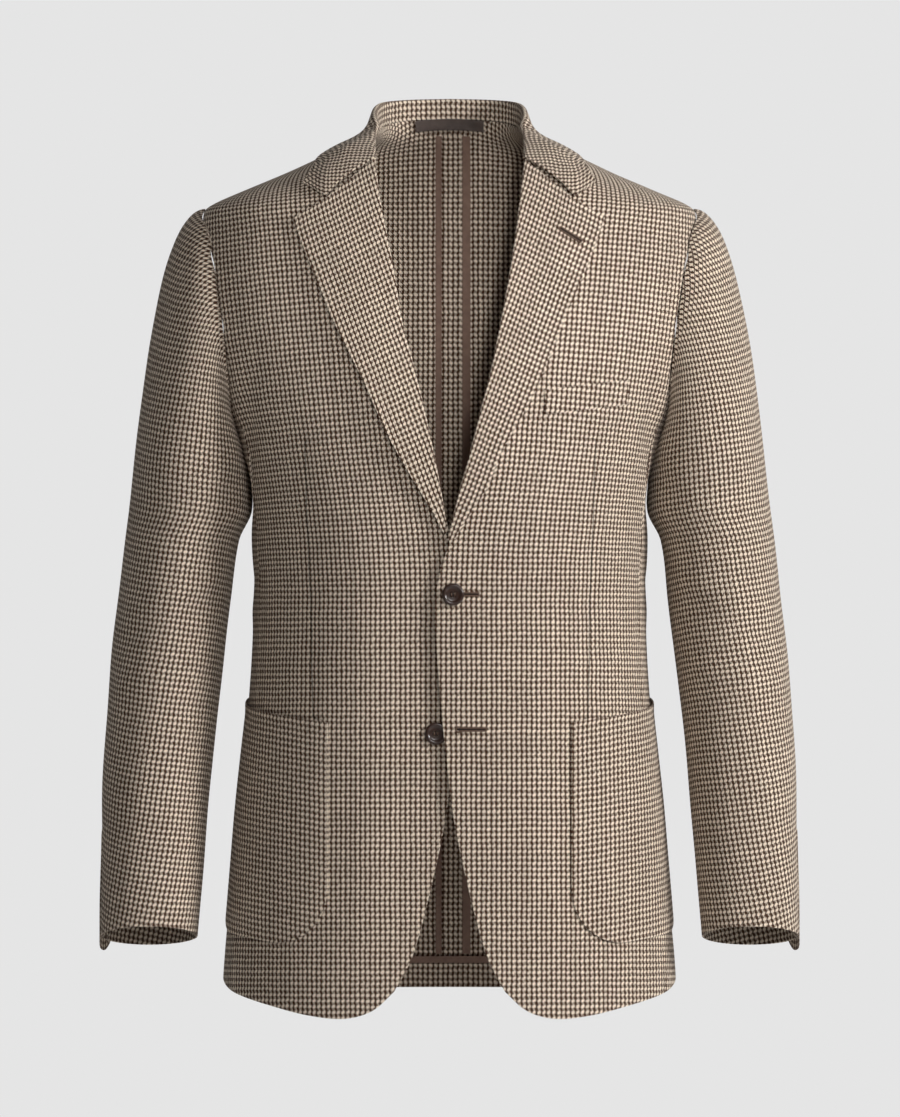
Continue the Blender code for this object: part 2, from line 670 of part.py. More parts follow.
def chest_welt():
    rows, columns = 3, 7
    (x0, z0), (x1, z1) = WELT
    grid = np.empty((rows + 1, columns + 1, 3))
    for i in range(columns + 1):
        w = i / columns
        for j in range(rows + 1):
            z = z0 + (z1 - z0) * w - WELT_HEIGHT * (1 - j / rows)
            grid[j, i] = front_point(x0 + (x1 - x0) * w, z, WALL + LAYER_GAP)
    return shell("chest_welt", grid, WALL, CLOTH)


def inside_back(x, z, out):
    """Point inside the back at this x, in from the outer face of the cloth."""
    share = abs(x) / column(BODY, "half", z)
    depth = column(BODY, "back", z) * (1 - share**BACK_POWER) ** (1 / BACK_POWER)
    return on_body(math.pi - math.atan2(x, depth), z, -out)


def inner_strip(name, left, right, top, foot, rows, out, wall, finish):
    """A strip that lies on the inside of the back, between two values of x."""
    columns = 1
    grid = np.array([
        [inside_back(left + (right - left) * i / columns, foot + (top - foot) * j / rows, out)
         for i in range(columns + 1)]
        for j in range(rows + 1)
    ])
    grid = drawn_in(grid, SEAM_GAP / 2)
    return shell(name, grid, wall, finish, np.array((0.0, 0.4, grid[rows // 2, 0][2])))


def centre_seam():
    out = WALL + STRIP_GAP + STRIP_WALL
    edges = TAPE_EDGES
    top = LOOP_TOP - 0.0015
    inner_strip("seam_tape_right", edges[0], edges[1], top, TAPE_FOOT, 26, out, STRIP_WALL, TAPE)
    inner_strip("seam_allowance", edges[1], edges[2], top, TAPE_FOOT, 26, out, STRIP_WALL, CLOTH)
    inner_strip("seam_tape_left", edges[2], edges[3], top, TAPE_FOOT, 26, out, STRIP_WALL, TAPE)


def hem_band(name, top, foot, finish):
    """A band round the inside of the back, above its hem."""
    out = WALL + STRIP_GAP + STRIP_WALL
    columns, rows = 24, 2
    reach = math.radians(HEM_BAND_REACH)
    grid = np.empty((rows + 1, columns + 1, 3))
    for j in range(rows + 1):
        for i in range(columns + 1):
            angle = math.pi - reach + 2 * reach * i / columns
            fall = spline([p[0] for p in HEM_BACK], [p[1] for p in HEM_BACK],
                          min(math.degrees(angle), 360 - math.degrees(angle)))
            grid[j, i] = on_body(angle, fall + foot + (top - foot) * j / rows, -out)
    grid = drawn_in(grid, SEAM_GAP / 2)
    return shell(name, grid, STRIP_WALL, finish, np.array((0.0, 0.4, grid[1, 12][2])))


def hanger_loop():
    rows, columns = 2, 12
    grid = np.empty((rows + 1, columns + 1, 3))
    for j in range(rows + 1):
        for i in range(columns + 1):
            share = 2 * i / columns - 1
            z = LOOP_TOP - LOOP_SAG * share**2 - LOOP_WIDTH * (1 - j / rows)
            out = WALL + STRIP_GAP + STRIP_WALL + LAYER_GAP + LOOP_WALL + LOOP_SLACK * (1 - share**2)
            grid[j, i] = inside_back(LOOP_HALF * share, z, out)
    return shell("hanger_loop", grid, LOOP_WALL, SATIN, np.array((0.0, 0.4, LOOP_TOP)))


def button(name, at, side):
    """A turned button with a raised rim and four holes, its axis square to the front."""
    profile = bmesh.new()
    thick, round_edge = BUTTON_THICK, 0.0008
    outline = (
        (0.0, thick - 0.0009), (BUTTON_RADIUS * 0.60, thick - 0.0009),
        (BUTTON_RADIUS * 0.74, thick), (BUTTON_RADIUS - round_edge, thick - 0.0002),
        (BUTTON_RADIUS, thick - 0.0011), (BUTTON_RADIUS - round_edge * 0.5, 0.0010),
        (BUTTON_RADIUS * 0.66, 0.0), (0.0, 0.0),
    )
    verts = [profile.verts.new((x, 0.0, z)) for x, z in outline]
    for low, high in zip(verts, verts[1:]):
        profile.edges.new((low, high))
    bmesh.ops.spin(profile, geom=profile.verts[:] + profile.edges[:], axis=(0, 0, 1), cent=(0, 0, 0),
                   angle=math.tau, steps=BUTTON_SIDES, use_merge=True)
    bmesh.ops.remove_doubles(profile, verts=profile.verts, dist=1e-5)
    bmesh.ops.recalc_face_normals(profile, faces=profile.faces)
    mesh = bpy.data.meshes.new(name)
    profile.to_mesh(mesh)
    profile.free()
    mesh.shade_smooth()
    made = add_object(name, mesh, HORN)
    under = front_point(at[0], at[1], 0.0, 1) if side > 0 else front_point(-at[0], at[1], 0.0, -1)
    ahead = front_point(at[0], at[1], 0.01, 1) if side > 0 else front_point(-at[0], at[1], 0.01, -1)
    normal = Vector(ahead - under).normalized()
    made.location = Vector(under) + normal * BUTTON_OFF
    made.rotation_euler = normal.to_track_quat("Z", "Y").to_euler()
    for k in range(4):
        turn = math.radians(45 + 90 * k)
        cutter = bmesh.new()
        bmesh.ops.create_cone(cutter, cap_ends=True, segments=8, radius1=BUTTON_HOLE, radius2=BUTTON_HOLE,
                              depth=3 * thick)
        bmesh.ops.translate(cutter, verts=cutter.verts,
                            vec=(BUTTON_HOLE_OUT * math.cos(turn), BUTTON_HOLE_OUT * math.sin(turn), 0.0))
        drill_mesh = bpy.data.meshes.new(f"drill_{name}_{k}")
        cutter.to_mesh(drill_mesh)
        cutter.free()
        drill = bpy.data.objects.new(f"drill_{name}_{k}", drill_mesh)
        drill.location, drill.rotation_euler = made.location, made.rotation_euler
        drill.hide_render = True
        drill.display_type = "WIRE"
        cutters().objects.link(drill)
        cut = made.modifiers.new(f"hole {k + 1}", "BOOLEAN")
        cut.operation = "DIFFERENCE"
        cut.object = drill
    return made


def build():
    for obj in list(bpy.data.objects):
        bpy.data.objects.remove(obj)
    for name, side in SIDES:
        front(name, side)
        side_body(name, side)
        back(name, side)
        lapel(name, side)
        sleeve(name, side)
        vent(name, side)
        pocket(name, side)
    collar()
    chest_welt()
    centre_seam()
    hem_band("hem_facing", HEM_TURN, 0.0004, CLOTH)
    hem_band("hem_tape", HEM_TURN + HEM_TAPE, HEM_TURN, TAPE)
    hanger_loop()
    button("button_top", TOP_BUTTON, 1)
    button("button_lower", LOWER_BUTTON, -1)


build()
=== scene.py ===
import math
from collections import namedtuple
from functools import partial

import bmesh
import bpy
import numpy as np
from mathutils import Matrix, Vector


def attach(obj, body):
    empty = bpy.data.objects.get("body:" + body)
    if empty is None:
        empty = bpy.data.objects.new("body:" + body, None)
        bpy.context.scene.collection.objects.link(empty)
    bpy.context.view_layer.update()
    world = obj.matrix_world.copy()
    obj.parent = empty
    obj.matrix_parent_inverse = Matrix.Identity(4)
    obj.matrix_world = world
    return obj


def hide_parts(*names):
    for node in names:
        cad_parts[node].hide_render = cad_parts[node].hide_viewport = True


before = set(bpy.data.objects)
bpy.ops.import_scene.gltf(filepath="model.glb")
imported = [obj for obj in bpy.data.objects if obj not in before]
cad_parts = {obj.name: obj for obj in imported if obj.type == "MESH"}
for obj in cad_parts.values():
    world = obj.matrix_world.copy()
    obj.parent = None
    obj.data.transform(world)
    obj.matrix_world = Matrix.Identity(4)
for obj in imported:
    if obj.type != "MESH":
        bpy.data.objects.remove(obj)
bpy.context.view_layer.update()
print("frame loaded")

# The torso is one surface, given by an angle (0 centre front, 90 the wearer's left, 180 centre
# back) and a height. The tables and borders are those of the solids.
wall = 0.0015
seamGap = 0.00006
layerGap = 0.0004
frontPower = 2.3
backPower = 2.7
meanRadius = 0.19


def tenths(kind, *rows):
    # Rows of lengths, given in tenths of a millimetre.
    return [kind(*(value / 10000 for value in row)) for row in rows]


Section = namedtuple("Section", "z half front back")
torso = tenths(
    Section,
    (400, 660, 450, 765), (205, 662, 460, 790), (40, 680, 500, 860), (-100, 1050, 655, 930),
    (-310, 1515, 835, 1010), (-500, 1975, 922, 1067), (-550, 2085, 944, 1081),
    (-600, 2167, 965, 1095), (-650, 2201, 984, 1107), (-720, 2222, 1010, 1123),
    (-880, 2261, 1066, 1153), (-1070, 2313, 1125, 1185), (-1440, 2320, 1205, 1220),
    (-1790, 2251, 1265, 1245), (-2130, 2125, 1308, 1250), (-2400, 2010, 1330, 1248),
    (-2620, 1905, 1345, 1240), (-3000, 1828, 1360, 1215), (-3450, 1780, 1355, 1165),
    (-4100, 1749, 1310, 1100), (-4600, 1762, 1280, 1095), (-5050, 1793, 1265, 1140),
    (-5480, 1835, 1265, 1200), (-5910, 1880, 1275, 1270), (-6340, 1920, 1290, 1330),
    (-6760, 1960, 1300, 1375), (-7190, 2000, 1310, 1405), (-7500, 2020, 1315, 1420),
    (-7850, 2025, 1320, 1430),
)

armholeFront = ((75.5, -0.232), (73.0, -0.213), (71.2, -0.179), (72.2, -0.144),
                (75.4, -0.107), (80.7, -0.08), (90.0, -0.06))
armholeUnder = ((75.5, -0.232), (81.0, -0.252), (90.0, -0.262), (99.0, -0.248), (107.0, -0.212))
armholeBack = ((107.0, -0.212), (110.2, -0.18), (110.8, -0.144), (107.6, -0.107),
               (100.6, -0.08), (90.0, -0.06))
neckFront = ((50.0, -0.0225), (58.0, -0.013), (70.0, -0.005), (90.0, 0.004))
neckBack = ((90.0, 0.004), (120.0, 0.012), (150.0, 0.0185), (180.0, 0.0205))
hemFront = ((20.8, -0.7574), (28.3, -0.7743), (37.3, -0.7814), (48.4, -0.7788),
            (62.0, -0.769), (75.5, -0.7588))
hemSide = ((75.5, -0.7588), (90.0, -0.7475), (105.0, -0.751), (116.0, -0.7555))
hemBack = ((116.0, -0.7555), (150.0, -0.757), (180.0, -0.757))
sideSeam = ((75.5, -0.7588), (75.5, -0.232))
backSideSeam = ((116.0, -0.7555), (112.0, -0.43), (107.0, -0.212))
shoulderSeam = ((90.0, -0.06), (90.0, 0.004))

# The front edge and the lapels, as x on the wearer's left and height.
Point = namedtuple("Point", "x z")
frontEdge = tenths(
    Point,
    (494, -7574), (334, -7271), (174, -6693), (35, -6034), (-40, -5420), (-93, -4868),
    (-125, -4400), (-130, -4100), (-85, -3836), (-40, -3700),
)
LapelRow = namedtuple("LapelRow", "z left right")
rollLine = tenths(
    LapelRow,
    (-3580, -16, 5), (-3390, 11, 30), (-2955, 134, 104), (-2474, 254, 206), (-2136, 344, 282),
    (-1664, 442, 409), (-1030, 556, 516), (-670, 602, 592), (-312, 653, 648), (-175, 664, 664),
)
lapelEdge = {
    "left": tenths(
        Point,
        (16, -3600), (160, -3364), (325, -3115), (458, -2790), (596, -2545), (767, -2225),
        (926, -1842), (1081, -1460), (1242, -1077), (1380, -690),
    ),
    "right": tenths(
        Point,
        (50, -3510), (147, -3320), (352, -2982), (556, -2617), (773, -2136), (1001, -1682),
        (1077, -1513), (1197, -1219), (1315, -917), (1396, -701),
    ),
}
lapelFoot = {"left": -0.357, "right": -0.349}
notch = (0.1115, -0.0525)
lapelLift = {"left": 0.0012, "right": 0.006}
lapelWall = 0.0018
rollRadius = 0.0024
lapelOut = 0.0046

CollarRow = namedtuple("CollarRow", "step fold foldZ seamZ mid midZ edge edgeZ")
collarRows = (
    CollarRow(0.0, 180.0, 0.0388, 0.0205, 180.0, 0.008, 180.0, -0.011),
    CollarRow(0.2, 150.0, 0.0376, 0.0185, 151.0, 0.005, 152.0, -0.011),
    CollarRow(0.4, 120.0, 0.0335, 0.012, 122.0, 0.0005, 125.0, -0.0105),
    CollarRow(0.6, 90.0, 0.0232, 0.004, 92.0, -0.001, 93.0, -0.0075),
    CollarRow(0.74, 72.0, 0.009, -0.0042, 73.0, -0.0125, 73.0, -0.021),
    CollarRow(0.87, 59.0, -0.0035, -0.0124, 61.0, -0.029, 66.8, -0.0305),
    CollarRow(1.0, 47.5, -0.0165, -0.0225, 53.4, -0.0515, 63.6, -0.0398),
)
collarWall = 0.0018
collarOut = 0.0052
collarRim = 0.0036
foldHalf = 0.0026
standGap = 0.001
neckHalf = 0.0658

Ring = namedtuple("Ring", "z centre half centreY halfY lean")
sleeveRings = (
    Ring(-0.3, 0.2302, 0.0529, 0.002, 0.068, 0.0),
    Ring(-0.331, 0.2316, 0.0549, 0.002, 0.0665, 0.01),
    Ring(-0.356, 0.2388, 0.0507, 0.002, 0.065, 0.02),
    Ring(-0.409, 0.2453, 0.0503, 0.001, 0.062, 0.05),
    Ring(-0.463, 0.2519, 0.0503, -0.001, 0.059, 0.08),
    Ring(-0.516, 0.2568, 0.049, -0.006, 0.056, 0.11),
    Ring(-0.57, 0.2612, 0.0481, -0.014, 0.052, 0.14),
    Ring(-0.623, 0.2635, 0.046, -0.023, 0.048, 0.17),
    Ring(-0.676, 0.2664, 0.0445, -0.033, 0.044, 0.2),
    Ring(-0.709, 0.2678, 0.0432, -0.039, 0.0415, 0.21),
)
ringTop = sleeveRings[0].z
cuffZ = sleeveRings[-1].z
capOut, capOutUnder = 0.11, -0.004
hindseamCuff = -22.0
ventTurns = (-37.0, 4.0)
ventLength, ventDrop = 0.095, 0.0095

Lap = namedtuple("Lap", "z depth")
underlap = tenths(
    Lap,
    (-2400, 0), (-3000, 12), (-3400, 36), (-3700, 58), (-4200, 68), (-6000, 68), (-6600, 55),
    (-7900, 35),
)
underlapStart, underlapFull = -0.085, -0.022

topButton = (0.0031, -0.4044)
lowerButton = (-0.012, -0.528)


def smooth(knots, values, at):
    # Smooth curve through the values, read at many places. The knots rise.
    knots, values = np.asarray(knots, float), np.asarray(values, float)
    at = np.asarray(at, float)
    last = len(knots) - 1
    low = np.maximum(np.arange(last + 1) - 1, 0)
    high = np.minimum(np.arange(last + 1) + 1, last)
    spread = knots[high] - knots[low]
    slope = (values[high] - values[low]) / (spread if values.ndim == 1 else spread[:, None])
    i = np.clip(np.searchsorted(knots, at) - 1, 0, last - 1)
    width = knots[i + 1] - knots[i]
    t = np.clip((at - knots[i]) / width, 0.0, 1.0)
    if values.ndim > 1:
        t, width = t[..., None], width[..., None]
    return (
        (2 * t**3 - 3 * t**2 + 1) * values[i]
        + (t**3 - 2 * t**2 + t) * width * slope[i]
        + (3 * t**2 - 2 * t**3) * values[i + 1]
        + (t**3 - t**2) * width * slope[i + 1]
    )


def column(table, name, at, key="z"):
    rows = sorted(table, key=lambda row: getattr(row, key))
    return smooth([getattr(r, key) for r in rows], [getattr(r, name) for r in rows], at)


def ease(value):
    value = np.clip(value, 0.0, 1.0)
    return value * value * (3 - 2 * value)


def radius(angle, z):
    facing = np.cos(angle) > 0
    depth = np.where(facing, column(torso, "front", z), column(torso, "back", z))
    power = np.where(facing, frontPower, backPower)
    half = column(torso, "half", z)
    total = np.abs(np.sin(angle) / half) ** power + np.abs(np.cos(angle) / depth) ** power
    return total ** (-1 / power)


def place(angle, z):
    r = radius(angle, z)
    return np.stack((r * np.sin(angle), -r * np.cos(angle), z + 0 * r), axis=-1)


def onBody(angle, z, out=0.0):
    angle, z = np.broadcast_arrays(np.asarray(angle, float), np.asarray(z, float))
    step = 0.004
    roundBody = place(angle + step, z) - place(angle - step, z)
    upBody = place(angle, z + step / 2) - place(angle, z - step / 2)
    normal = np.cross(roundBody, upBody)
    normal /= np.linalg.norm(normal, axis=-1, keepdims=True)
    return place(angle, z) + normal * np.asarray(out)[..., None]


def angleAt(x, z):
    share = np.minimum(np.abs(x) / column(torso, "half", z), 0.9999)
    depth = column(torso, "front", z) * (1 - share**frontPower) ** (1 / frontPower)
    return np.arctan2(x, depth)


def sunk(points, side):
    # The wearer's right front goes in under the left one near the centre.
    if side > 0:
        return points
    share = ease((points[..., 0] - underlapStart) / (underlapFull - underlapStart))
    depth = column(underlap, "depth", points[..., 2]) * (points[..., 1] < 0)
    points = points.copy()
    points[..., 1] += share * depth
    return points


# Lengths over the cloth: round the body from the centre front, and up from the lowest height.
girthAngles = np.radians(np.arange(0.0, 182.0, 2.0))
girthHeights = np.arange(-0.8, 0.0401, 0.004)
girth = place(*np.meshgrid(girthAngles, girthHeights))
roundLength = np.zeros(girth.shape[:2])
roundLength[:, 1:] = np.cumsum(np.linalg.norm(np.diff(girth, axis=1), axis=-1), axis=1)
upLength = np.zeros(girth.shape[:2])
upLength[1:] = np.cumsum(np.linalg.norm(np.diff(girth, axis=0), axis=-1), axis=0)


def lookUp(table, angle, z):
    i = np.clip(angle / girthAngles[1], 0, len(girthAngles) - 1.001)
    j = np.clip((z - girthHeights[0]) / 0.004, 0, len(girthHeights) - 1.001)
    i0, j0 = i.astype(int), j.astype(int)
    s, t = i - i0, j - j0
    low = table[j0, i0] * (1 - s) + table[j0, i0 + 1] * s
    high = table[j0 + 1, i0] * (1 - s) + table[j0 + 1, i0 + 1] * s
    return low * (1 - t) + high * t


def domain(points):
    return [(math.radians(a), z) for a, z in points]


def fromFront(points):
    return [(float(angleAt(x, z)), z) for x, z in points]


def border(*parts):
    # Smooth runs of (angle, height), each with its share of the border, read at any place on it.
    total = sum(steps for _, steps in parts)

    def read(t):
        t = np.asarray(t, float) * total
        made = np.zeros(t.shape + (2,))
        start = 0
        for points, steps in parts:
            points = np.array(points, float)
            lengths = np.linalg.norm(np.diff(points * (meanRadius, 1.0), axis=0), axis=1)
            knots = np.concatenate(([0.0], np.cumsum(lengths)))
            here = (t >= start - 1e-9) & (t <= start + steps + 1e-9)
            made[here] = smooth(knots, points, knots[-1] * (t[here] - start) / steps)
            start += steps
        return made

    return read


def spaced(count, length):
    # Places from 0 to 1, with extra ones close to both ends for the turned edge.
    gap, rims = seamGap / length, np.array((0.0007, 0.0018)) / length
    inner = np.linspace(gap, 1 - gap, count + 1)
    return np.unique(np.concatenate((inner, gap + rims, 1 - gap - rims)))


def patch(bottom, top, left, right, s, t):
    b, u, l, r = bottom(s), top(s), left(t), right(t)
    ends = [f(np.array((0.0, 1.0))) for f in (bottom, top)]
    s, t = s[None, :, None], t[:, None, None]
    corners = (1 - t) * ((1 - s) * ends[0][0] + s * ends[0][1])
    corners = corners + t * ((1 - s) * ends[1][0] + s * ends[1][1])
    return (1 - t) * b[None] + t * u[None] + (1 - s) * l[:, None] + s * r[:, None] - corners


edgeReach = 0.0016


def edgeDrop(s, t, width, height, sides="lrbt", drop=0.0005):
    # How far the cloth dips towards a seam.
    near = {"l": s[None] * width, "r": (1 - s[None]) * width,
            "b": t[:, None] * height, "t": (1 - t[:, None]) * height}
    far = np.full((len(t), len(s)), 1.0)
    for key in sides:
        far = np.minimum(far, near[key])
    return -drop * np.clip(1 - far / edgeReach, 0, 1) ** 2


Fold = namedtuple("Fold", "u0 v0 u1 v1 width height")


def folds(table, u, v):
    # Soft ridges and troughs, each along a line and fading out at its ends.
    total = np.zeros(np.broadcast(u, v).shape)
    for f in table:
        du, dv = f.u1 - f.u0, f.v1 - f.v0
        length = math.hypot(du, dv)
        along = ((u - f.u0) * du + (v - f.v0) * dv) / length**2
        across = (-(u - f.u0) * dv + (v - f.v0) * du) / length
        across = across + 0.15 * f.width * np.sin(9 * along + 40 * f.u0)
        fade = np.exp(-(np.abs(2 * along - 1) / 0.92) ** 4)
        total = total + f.height * fade * np.exp(-(across / f.width) ** 2)
    return total


def toLinear(code):
    parts = [int(code[k:k + 2], 16) / 255 for k in (0, 2, 4)]
    return [c / 12.92 if c <= 0.04045 else ((c + 0.055) / 1.055) ** 2.4 for c in parts] + [1.0]


def assign(thing, **values):
    for key, value in values.items():
        setattr(thing, key, value)


def newMaterial(name):
    made = bpy.data.materials.new(name)
    made.use_nodes = True
    return made, made.node_tree, made.node_tree.nodes["Principled BSDF"]


def add(tree, kind, settings=None, **inputs):
    node = tree.nodes.new(kind)
    assign(node, **(settings or {}))
    for key, value in inputs.items():
        socket = node.inputs[int(key[1:]) if key[0] == "i" and key[1:].isdigit() else key]
        if isinstance(value, bpy.types.NodeSocket):
            tree.links.new(value, socket)
        else:
            socket.default_value = value
    return node


def math2(tree, operation, a, b=0.0, c=0.0):
    return add(tree, "ShaderNodeMath", {"operation": operation}, i0=a, i1=b, i2=c).outputs[0]


def vectorMath(tree, operation, *values):
    named = {f"i{k}": value for k, value in enumerate(values)}
    return add(tree, "ShaderNodeVectorMath", {"operation": operation}, **named).outputs[0]


def objectCoords(tree):
    return add(tree, "ShaderNodeTexCoord").outputs["Object"]


def clothCoords(tree):
    return add(tree, "ShaderNodeUVMap", {"uv_map": "cloth"}).outputs[0]


def noise(tree, coords, scale, detail, output="Fac", **more):
    return add(tree, "ShaderNodeTexNoise", Vector=coords, Scale=scale, Detail=detail,
               **more).outputs[output]


def blend(tree, share, low, high):
    return add(tree, "ShaderNodeMix", {"data_type": "RGBA"}, i0=share, i6=low, i7=high).outputs[2]


def choose(tree, share, low, high):
    return add(tree, "ShaderNodeMix", {"data_type": "FLOAT"}, i0=share, i2=low, i3=high).outputs[0]


def setAll(shader, **values):
    for key, value in values.items():
        shader.inputs[key.replace("_", " ")].default_value = value


def dress(tree, shader, colour, height, strength, distance, **values):
    # The colour and the bump of a surface, and the values that are the same all over it.
    bump = add(tree, "ShaderNodeBump", Strength=strength, Distance=distance, Height=height)
    tree.links.new(colour, shader.inputs["Base Color"])
    tree.links.new(bump.outputs[0], shader.inputs["Normal"])
    setAll(shader, **values)


# The size of one check, its threads each way, the share of it that is dark, and the share of
# the twill where the warp lies on top.
checkU, checkV, checkThreads = 0.0045, 0.0051, 8
darkWarp, darkWeft, warpShare = 0.59, 0.55, 0.6
# How far the threads wander: the noise's scale and detail, and its reach in metres.
wanders = ((42.0, 2.0, 0.0016), (260.0, 1.0, 0.0013))
dartHalf, dartSoft = 0.0002, 0.0011


def weaveMaterial(name, dark, light):
    # Linen in a small houndstooth: dark and light threads each way in a twill. The attribute
    # "dart" is 1 plus the distance from a dart in metres, and nothing on pieces without one.
    made, tree, shader = newMaterial(name)
    calc, coords, moved = partial(math2, tree), objectCoords(tree), clothCoords(tree)
    for scale, detail, reach in wanders:
        away = vectorMath(tree, "SUBTRACT", noise(tree, coords, scale, detail, "Color"),
                          (0.5, 0.5, 0.5))
        moved = vectorMath(tree, "MULTIPLY_ADD", away, (reach, reach, 0.0), moved)
    parts = add(tree, "ShaderNodeSeparateXYZ", Vector=moved)
    warp = calc("DIVIDE", parts.outputs[0], checkU / checkThreads)
    weft = calc("DIVIDE", parts.outputs[1], checkV / checkThreads)
    warpThread, weftThread = calc("FLOOR", warp), calc("FLOOR", weft)
    warpDark, weftDark = (
        calc("LESS_THAN", calc("FRACT", calc("DIVIDE", count, float(checkThreads))), share)
        for count, share in ((warp, darkWarp), (weft, darkWeft)))
    # Two steps of the twill to a check, so each check has a slanted tooth at its corners.
    rise = calc("MULTIPLY_ADD", weft, -1 / checkThreads, 0.5)
    step = calc("FRACT", calc("MULTIPLY_ADD", warp, 2 / checkThreads, rise))
    warpUp = calc("LESS_THAN", step, warpShare)
    # Each thread has its own shade, and thick and thin places along it.
    thread = add(tree, "ShaderNodeCombineXYZ", i0=calc("MULTIPLY", warpThread, warpUp),
                 i1=calc("MULTIPLY", weftThread, calc("SUBTRACT", 1.0, warpUp))).outputs[0]
    shade = add(tree, "ShaderNodeTexWhiteNoise", {"noise_dimensions": "2D"},
                Vector=thread).outputs["Value"]
    slub, cloud = noise(tree, coords, 900.0, 2.0), noise(tree, coords, 26.0, 3.0)
    tone = calc("MULTIPLY_ADD", shade, 0.34, 0.83)
    for part, reach in ((slub, 0.6), (cloud, 0.16)):
        tone = calc("MULTIPLY_ADD", part, reach, calc("SUBTRACT", tone, reach / 2))
    colour = blend(tree, choose(tree, warpUp, weftDark, warpDark), toLinear(light), toLinear(dark))
    dart = add(tree, "ShaderNodeAttribute", {"attribute_name": "dart"}).outputs["Fac"]
    dart = calc("ABSOLUTE", calc("SUBTRACT", dart, 1.0))
    seam = add(tree, "ShaderNodeMapRange", {"interpolation_type": "SMOOTHSTEP"}, Value=dart,
               i1=dartHalf, i2=dartSoft, i3=1.0, i4=0.0).outputs[0]
    tone = calc("MULTIPLY", tone, calc("MULTIPLY_ADD", seam, -0.62, 1.0))
    tinted = add(tree, "ShaderNodeVectorMath", {"operation": "SCALE"}, i0=colour, Scale=tone)
    # Round threads, higher where one lies over the other.
    acrossWarp, acrossWeft = (
        calc("SINE", calc("MULTIPLY", calc("FRACT", count), math.pi)) for count in (warp, weft))
    height = choose(tree, warpUp, acrossWeft, acrossWarp)
    height = calc("MULTIPLY_ADD", slub, 0.8, height)
    height = calc("MULTIPLY_ADD", seam, -2.0, height)
    dress(tree, shader, tinted.outputs[0], height, 0.55, 0.00022, Roughness=0.9,
          Specular_IOR_Level=0.15, Sheen_Weight=0.05, Sheen_Roughness=0.5)
    return made


def stripMaterial(name, dark, light, ribs, gloss, sheen):
    # Narrow woven strip: fine ribs across it and a little mottling.
    made, tree, shader = newMaterial(name)
    parts = add(tree, "ShaderNodeSeparateXYZ", Vector=clothCoords(tree))
    rib, side = (
        math2(tree, "SINE", math2(tree, "MULTIPLY", parts.outputs[k], turns * math.tau))
        for k, turns in ((1, ribs), (0, 1.3 * ribs)))
    cloud = noise(tree, objectCoords(tree), 160.0, 4.0)
    dress(tree, shader, blend(tree, cloud, toLinear(dark), toLinear(light)),
          math2(tree, "MULTIPLY", rib, side), 0.5, 0.00012, Roughness=gloss, Sheen_Weight=sheen)
    return made


def hornMaterial(name):
    # Polished dark horn with brown streaks.
    made, tree, shader = newMaterial(name)
    stretched = add(tree, "ShaderNodeMapping", Vector=objectCoords(tree),
                    Scale=(70.0, 70.0, 260.0)).outputs[0]
    streak = noise(tree, stretched, 1.6, 5.0, Distortion=0.8)
    mixed = blend(tree, streak, toLinear("160d09"), toLinear("402619"))
    tree.links.new(mixed, shader.inputs["Base Color"])
    setAll(shader, Roughness=0.28, Coat_Weight=0.35, Coat_Roughness=0.12)
    return made


def plainMaterial(name, colour, roughness, grain):
    # One colour with a fine grain.
    made, tree, shader = newMaterial(name)
    fine, base = noise(tree, objectCoords(tree), grain, 3.0), toLinear(colour)[:3]
    low, high = ([min(share * c, 1.0) for c in base] + [1.0] for share in (0.75, 1.2))
    dress(tree, shader, blend(tree, fine, low, high), fine, 0.4, 0.0001, Roughness=roughness)
    return made


houndstooth = weaveMaterial("houndstooth linen", "493225", "e4d4c0")
bindingTape = stripMaterial("cotton binding tape", "70564a", "927666", 1400, 0.75, 0.15)
darkSatin = stripMaterial("dark satin", "30221b", "584840", 2200, 0.38, 0.3)
horn = hornMaterial("dark horn")
thread = plainMaterial("brown buttonhole twist", "634a3a", 0.6, 1500.0)
# Near-black for the buttonhole slits: painted shade inside the opening, not a colour of the cloth.
slitShade = plainMaterial("painted shade inside the slit", "1a130f", 0.9, 600.0)
print("materials made")


def link(name, data):
    made = bpy.data.objects.new(name, data)
    bpy.context.scene.collection.objects.link(made)
    return made


def ride(piece):
    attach(piece, "root")


def finish(piece, slot, node, **cut):
    ride(piece)
    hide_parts(node)


def readAll(items, key):
    values = np.empty(len(items) * 3)
    items.foreach_get(key, values)
    return values.reshape(-1, 3)


